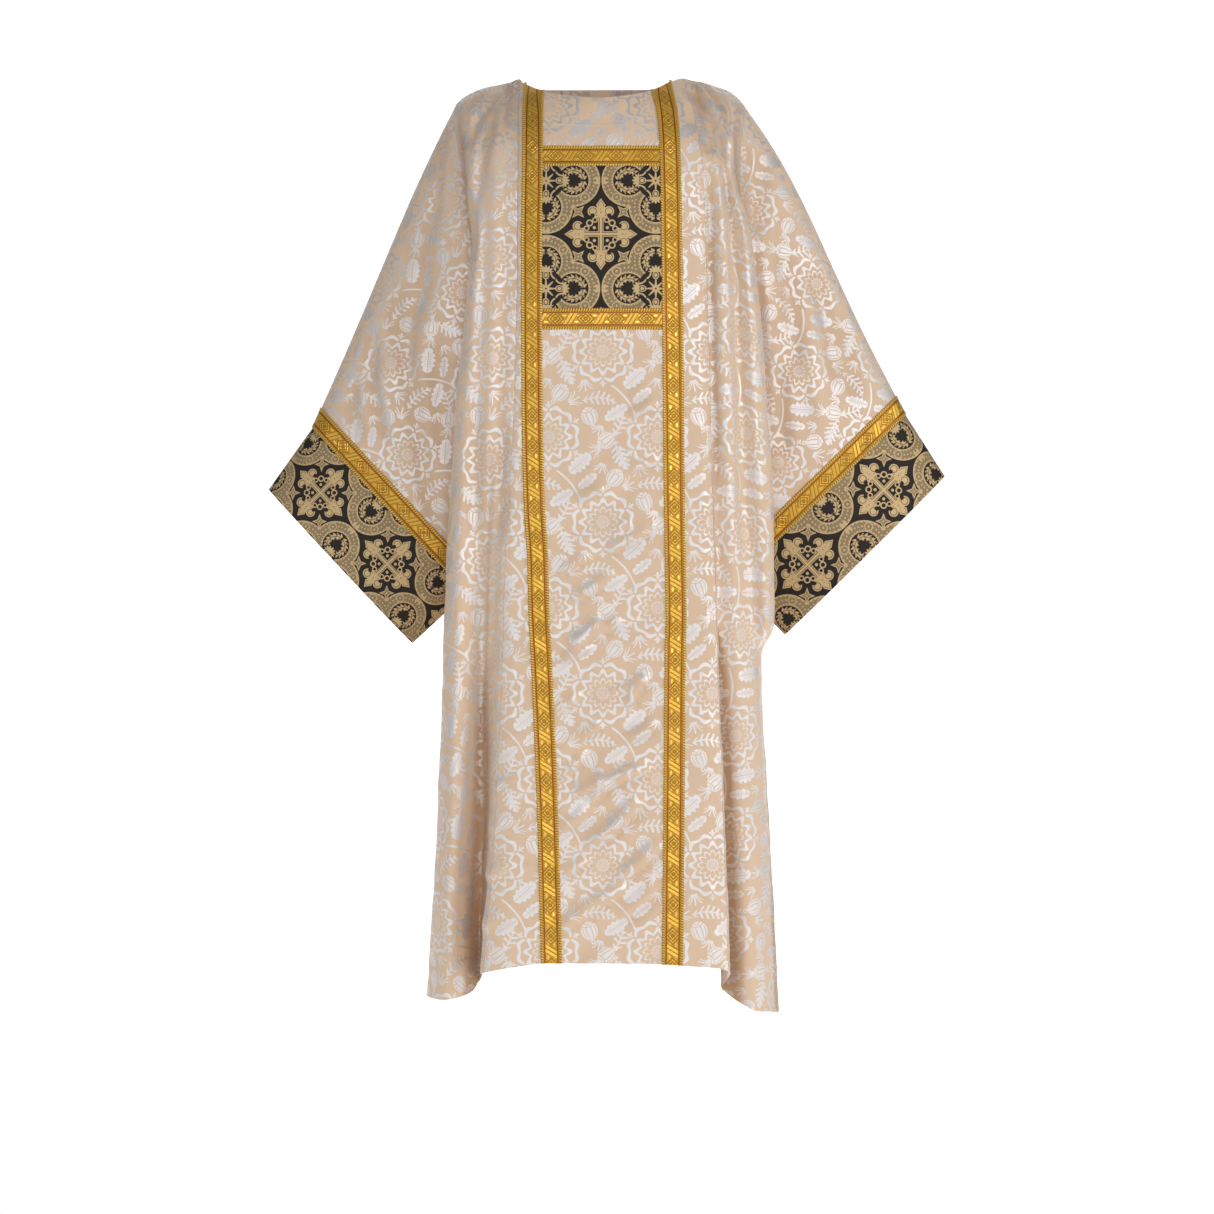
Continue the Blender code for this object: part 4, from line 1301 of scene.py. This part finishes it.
DAMASK = damask("damask with rosettes")
BROCADE_CHEST = brocade("chest brocade")
BROCADE_CUFF = {
    "left": brocade("left cuff brocade", repeat=12.7),
    "right": brocade("right cuff brocade", repeat=13.8),
}
GALLOON = galloon("gold galloon")
CORD = cord_gold("twisted gold cord")
THREAD = thread("sewing thread")


def strip_grain(part):
    """Across and along a galloon on the body: metres from its middle line, and up it."""
    across = arc_across(part, 0)
    return np.stack([across - across[:, -1:] / 2.0, arc_up(part)], axis=-1)


# Where the patterns are anchored on the cloth, in metres; the side panels' grain is also turned
MIDDLE_ANCHOR = (0.0027, -0.361)
BACK_ANCHOR = (0.0, -0.30)
CHEST_ANCHOR = (0.0, -0.2115)
CUFF_ANCHOR = {"left": (-0.049, -0.085), "right": (0.049, -0.105)}
SIDE_GRAIN = {"left": (33.0, (-0.030, -0.369)), "right": (-33.0, (0.055, -0.720))}
SLEEVE_PATTERN = 1.07

STITCH_SIZES = {"Pitch": 0.0034, "Length": 0.0028, "Width": 0.0012}


def stitch_tree():
    """Geometry Nodes that set stitches end to end along a line, as small rounded grains."""
    tree = bpy.data.node_groups.new("stitches", "GeometryNodeTree")
    tree.interface.new_socket("Geometry", in_out="INPUT", socket_type="NodeSocketGeometry")
    for name, size in STITCH_SIZES.items():
        socket = tree.interface.new_socket(name, in_out="INPUT", socket_type="NodeSocketFloat")
        socket.default_value = size
    tree.interface.new_socket("Geometry", in_out="OUTPUT", socket_type="NodeSocketGeometry")

    def node(kind, **inputs):
        made = tree.nodes.new(kind)
        set_inputs(tree, made, inputs)
        return made

    start = node("NodeGroupInput").outputs
    line = node("GeometryNodeMeshToCurve", Mesh=start["Geometry"])
    points = node("GeometryNodeResampleCurve", Curve=line.outputs["Curve"])
    points.mode = "LENGTH"
    set_inputs(tree, points, {"Length": start["Pitch"]})
    lie = node("FunctionNodeAlignRotationToVector", Vector=node("GeometryNodeInputTangent").outputs[0])
    lie.axis = "X"
    grain = node("GeometryNodeMeshUVSphere", Segments=8, Rings=6, Radius=0.5)
    size = node("ShaderNodeCombineXYZ", X=start["Length"], Y=start["Width"], Z=start["Width"])
    grains = node(
        "GeometryNodeInstanceOnPoints", Points=points.outputs["Curve"], Instance=grain.outputs["Mesh"],
        Rotation=lie.outputs["Rotation"], Scale=size.outputs[0],
    )
    real = node("GeometryNodeRealizeInstances", Geometry=grains.outputs["Instances"])
    finish = node("GeometryNodeSetMaterial", Geometry=real.outputs["Geometry"], Material=THREAD)
    node("NodeGroupOutput", Geometry=finish.outputs["Geometry"])
    return tree


STITCHES = stitch_tree()


def stitched(name, path):
    """A row of stitches along a path, as one mesh."""
    mesh = bpy.data.meshes.new(f"{name}_line")
    mesh.from_pydata(path.tolist(), [(k, k + 1) for k in range(len(path) - 1)], [])
    line = placed(f"{name}_line", mesh)
    modifier = line.modifiers.new("stitches", "NODES")
    modifier.node_group = STITCHES
    for item in STITCHES.interface.items_tree:
        if item.in_out == "INPUT" and item.name in STITCH_SIZES:
            modifier[item.identifier] = STITCH_SIZES[item.name]
    shown = line.evaluated_get(bpy.context.evaluated_depsgraph_get())
    made = bpy.data.meshes.new_from_object(shown)
    bpy.data.objects.remove(line)
    thing = placed(name, made)
    thing.data.shade_smooth()
    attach(thing, "root")
    return thing


def level_grain(part):
    """Across and along a galloon that lies level: metres from its middle line, and along it."""
    up = arc_up(part)
    up = up - (up[:1] + up[-1:]) / 2.0
    return np.stack([-up, arc_across(part, part.shape[1] // 2)], axis=-1)


def finished(node, piece):
    """Sets a piece in its solid's place."""
    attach(piece, "root")
    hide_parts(node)


def cloth(node, net, way, grain, finish, borders, closed=False, shade=None):
    """A piece of cloth: a wall on its net, cut back at the borders that are seams."""
    outer = net.copy()
    cut_back(outer, way, borders)
    piece = shell(f"{node}_cloth", outer, outer - way * WALL, grain, finish, closed, shade)
    finished(node, piece)


def trim(node, base, way, grain, finish, cord_borders, closed=False):
    """A trim that lies on a panel: the panel's own points, moved out, with its edge cords."""
    outer = base.copy()
    if not closed:
        cut_back(outer, way, (START_COLUMN, END_COLUMN))
    lifted = outer + way * TRIM_LIFT
    parts = [shell(f"{node}_cloth", lifted + way * TRIM_WALL, lifted, grain, finish, closed)]
    for k, (border, towards) in enumerate(cord_borders):
        path = base[border] + inward(base, way, border, towards) * CORD_INSET
        path = path + way[border] * TRIM_LIFT * 2.0
        parts.append(tube(f"{node}_cord_{k}", path, way[border], closed))
    finished(node, joined(parts))


def meet(front, back, ring):
    """Gives the walls that meet at an armhole, and down the side seam, one common direction."""
    low = ARMHOLE_ROWS - 1
    shared = unit(front + back)
    front[ARMHOLE_ROWS:] = shared[ARMHOLE_ROWS:]
    back[ARMHOLE_ROWS:] = shared[ARMHOLE_ROWS:]
    for row in range(1, low):
        front[row] = ring[row] = unit(front[row] + ring[row])
        back[row] = ring[-row] = unit(back[row] + ring[-row])
    for row in (0, low):
        front[row] = back[row] = ring[row] = unit(front[row] + back[row] + SLEEVE_SHARE * ring[row])


def body_relief(face, net, creased):
    """How far the front or back moves out; it fades at the borders, where neighbours meet."""
    hold = clamp(from_edge(net) / EDGE_HOLD)[None, :] * clamp(np.arange(len(net)) / TOP_HOLD)[:, None]
    for side in SIDES:
        # The clavi stiffen the cloth under them
        clavus = (column(side, "inner") + column(side, "strip")) / 2.0
        off = (np.arange(net.shape[1]) - clavus) / STIFF_COLUMNS
        hold = hold * (1.0 - STIFFENED * np.exp(-off ** 2))[None, :]
    moved = creased + wave_height(net) + pucker_height(net)
    if face == "front":
        moved += sum(seam_height(net, column(side, "seam")) for side in SIDES)
    return moved * hold


def main():
    nets = {face: body_net(face) for face in CREASES}
    ways = {face: away_from(normals(net), net, BODY_AXIS) for face, net in nets.items()}
    sleeves, sleeve_ways = {}, {}
    for side, edge in (("left", 0), ("right", -1)):
        net = sleeve_net(side, nets["front"][:ARMHOLE_ROWS, edge], nets["back"][:ARMHOLE_ROWS, edge])
        sleeves[side] = net
        sleeve_ways[side] = away_from(normals(net, closed=True), net, net.mean(axis=(0, 1)))
        meet(ways["front"][:, edge], ways["back"][:, edge], sleeve_ways[side][0])
    seams = {side: column(side, "seam") for side in SIDES}
    for shoulder in (slice(1, seams["left"] + 1), slice(seams["right"], -1)):
        together = unit(ways["front"][0, shoulder] + ways["back"][0, shoulder])
        ways["front"][0, shoulder] = ways["back"][0, shoulder] = together

    grains, shades = {}, {}
    for face, net in list(nets.items()):
        grains[face] = np.stack([arc_across(net, sum(CELLS)), arc_up(net)], axis=-1)
        creased = crease_height(net, CREASES[face])
        nets[face] = net + ways[face] * body_relief(face, net, creased)[..., None]
        shades[face] = fold_shade(net, creased)

    build_panels(nets, ways, grains, shades, seams)
    build_body_trims(nets, ways, grains["front"])
    for side, net in sleeves.items():
        build_sleeve(side, net, sleeve_ways[side])


def build_panels(nets, ways, grains, shades, seams):
    """The three panels of the front and the one of the back."""
    last = nets["front"].shape[1] - 1
    side_grain = {}
    for side, (degrees, anchor) in SIDE_GRAIN.items():
        grain = grains["front"].copy()
        grain[..., 0] -= grain[:, seams[side]:seams[side] + 1, 0]
        side_grain[side] = turned(grain, anchor, degrees)
    middle_grain = grains["front"] - np.array(MIDDLE_ANCHOR)
    back_grain = grains["back"] - np.array(BACK_ANCHOR)
    upright = (START_COLUMN, END_COLUMN)
    all_round = upright + (START_ROW,)
    for node, face, grain, first, final, borders in (
        ("front_middle", "front", middle_grain, seams["left"], seams["right"], upright),
        ("front_side_left", "front", side_grain["left"], 0, seams["left"], all_round),
        ("front_side_right", "front", side_grain["right"], seams["right"], last, all_round),
        ("back", "back", back_grain, 0, last, all_round),
    ):
        part = np.s_[:, first:final + 1]
        cloth(node, nets[face][part], ways[face][part], grain[part], DAMASK, borders,
              shade=shades[face][part])


def build_body_trims(nets, ways, front_grain):
    """The clavi, the chest panel between its galloons, and the stitching of the neck's facing."""
    for face in nets:
        for side in SIDES:
            first, final = sorted((column(side, "inner"), column(side, "strip")))
            part = np.s_[:, first:final + 1]
            net = nets[face][part]
            trim(f"clavus_{face}_{side}", net, ways[face][part], strip_grain(net), GALLOON,
                 (START_COLUMN, END_COLUMN))

    between = slice(column("left", "inner"), column("right", "inner") + 1)
    for node, high, low in (
        ("chest_galloon_top", TOP_GALLOON, CHEST_TOP),
        ("chest_panel", CHEST_TOP, CHEST_BOTTOM),
        ("chest_galloon_bottom", CHEST_BOTTOM, LOW_GALLOON),
    ):
        part = np.s_[row_of(high):row_of(low) + 1, between]
        net, way = nets["front"][part], ways["front"][part]
        if node == "chest_panel":
            grain = front_grain[part] - np.array(CHEST_ANCHOR)
            trim(node, net, way, grain, BROCADE_CHEST, ())
        else:
            trim(node, net, way, level_grain(net), GALLOON, (START_ROW, END_ROW))

    row = row_of(STITCH_LINE)
    stitched("neck_stitching", nets["front"][row, between] + ways["front"][row, between] * STITCH_LIFT)


def build_sleeve(side, net, way):
    """A sleeve with its cuff, and the galloon that lies over their seam."""
    cuff = cuff_net(side)
    cuff_way = away_from(normals(cuff, closed=True), cuff, cuff.mean(axis=(0, 1)))
    way[-1] = cuff_way[0] = unit(way[-1] + cuff_way[0])
    grain = sleeve_grain(net, side)
    cuff_grain = sleeve_grain(np.concatenate([net, cuff[1:]]), side)[len(net) - 1:]

    # The creases fade out at the armhole and at the sleeve's top and bottom edges
    around = np.arange(net.shape[1])
    half = len(around) // 2
    creased = np.zeros(net.shape[:2])
    for face, here in (("front", around <= half), ("back", around > half)):
        creased[:, here] = crease_height(net[:, here], {"line": SLEEVE_LINES[face]})
    steps = np.minimum(np.minimum(around, len(around) - around), np.abs(around - half))
    rings = np.arange(len(net))
    hold = clamp(rings / RING_HOLD) * np.clip((rings[::-1] - GALLOON_CELLS) / RING_HOLD, CUFF_HOLD, 1.0)
    moved = (creased + wave_height(net)) * hold[:, None] * clamp(steps / FOLD_HOLD)[None, :]
    shade = sleeve_shade(net, creased)
    net = net + way * moved[..., None]
    cloth(f"sleeve_{side}", net, way, grain * SLEEVE_PATTERN, DAMASK, (START_ROW, END_ROW),
          True, shade)

    strip = np.s_[len(net) - 1 - GALLOON_CELLS:]
    galloon_grain = grain[strip].copy()
    galloon_grain[..., 0] -= (galloon_grain[:1, :, 0] + galloon_grain[-1:, :, 0]) / 2.0
    trim(f"cuff_galloon_{side}", net[strip], way[strip], galloon_grain, GALLOON,
         (START_ROW, END_ROW), True)

    cuff_grain = cuff_grain - cuff_grain[:1, :1] - np.array(CUFF_ANCHOR[side])
    cloth(f"cuff_{side}", cuff, cuff_way, cuff_grain, BROCADE_CUFF[side], (START_ROW,), True)


main()


# Soft lights: place, width and height, watts and colour
LIGHTS = {
    "front softbox": ((0.5, -6.2, 1.0), (2.6, 2.2), 88.0, (1.0, 0.99, 0.98)),
    "right softbox": ((3.9, -2.6, 0.6), (1.2, 2.2), 54.0, (1.0, 0.985, 0.965)),
    "left softbox": ((-3.4, -3.0, 0.3), (1.2, 2.2), 14.0, (0.98, 0.99, 1.0)),
}
LIT_POINT = (0.0, 0.0, -0.62)
AMBIENT = 0.26
CAMERA_PLACE = (0.0078, -5.0, -0.685)
CAMERA_LENS = 114.06
FLOOR = -1.47
WALL_PLACE = 7.0
WALL_TOP = 9.0
SWEEP_RADIUS = 3.0
SWEEP_STEPS = 16
STAGE_HALF = 15.0
GLOW = 0.84


def set_up(name, data, place, turn):
    thing = placed(name, data)
    thing.location = place
    thing.rotation_euler = turn
    return thing


def soft_light(name, place, size, energy, colour):
    data = bpy.data.lights.new(name, "AREA")
    data.shape = "RECTANGLE"
    data.size, data.size_y = size
    data.energy = energy
    data.color = colour
    set_up(name, data, place, (Vector(LIT_POINT) - Vector(place)).to_track_quat("-Z", "Y").to_euler())


def sweep():
    """Pale floor that sweeps up into a wall behind the garment, and glows there."""
    line = [(-STAGE_HALF, FLOOR)]
    for step in range(SWEEP_STEPS + 1):
        angle = np.pi / 2.0 * step / SWEEP_STEPS
        forward = SWEEP_RADIUS * (1.0 - np.sin(angle))
        line.append((WALL_PLACE - forward, FLOOR + SWEEP_RADIUS * (1.0 - np.cos(angle))))
    line.append((WALL_PLACE, WALL_TOP))
    points = [(x, y, z) for y, z in line for x in (-STAGE_HALF, STAGE_HALF)]
    faces = [(2 * k, 2 * k + 1, 2 * k + 3, 2 * k + 2) for k in range(len(line) - 1)]
    mesh = bpy.data.meshes.new("floor")
    mesh.from_pydata(points, [], faces)
    mesh.shade_smooth()
    made, tree, shader = new_material("white paper")
    coordinates = tree.nodes.new("ShaderNodeTexCoord")
    parts = tree.nodes.new("ShaderNodeSeparateXYZ")
    tree.links.new(coordinates.outputs["Object"], parts.inputs[0])
    behind = Number(tree, parts.outputs[1]).above(-0.3, 2.4)
    beside = Number(tree, parts.outputs[0]).abs().below(3.4, 2.4)
    set_inputs(tree, shader, {
        "Base Color": (0.93, 0.93, 0.93, 1.0),
        "Roughness": 0.9,
        "Emission Color": (1.0, 1.0, 1.0, 1.0),
        "Emission Strength": behind * beside * GLOW,
    })
    mesh.materials.append(made)
    placed("floor", mesh)


def studio():
    scene = bpy.context.scene
    camera = bpy.data.cameras.new("camera")
    camera.sensor_width = 36.0
    camera.lens = CAMERA_LENS
    scene.camera = set_up("camera", camera, CAMERA_PLACE, (np.pi / 2.0, 0.0, 0.0))
    sweep()
    for name, values in LIGHTS.items():
        soft_light(name, *values)
    scene.world = bpy.data.worlds.new("studio")
    scene.world.use_nodes = True
    tree = scene.world.node_tree
    set_inputs(tree, tree.nodes["Background"], {"Color": (1.0, 1.0, 1.0, 1.0), "Strength": AMBIENT})
    scene.view_settings.view_transform = "Standard"


studio()
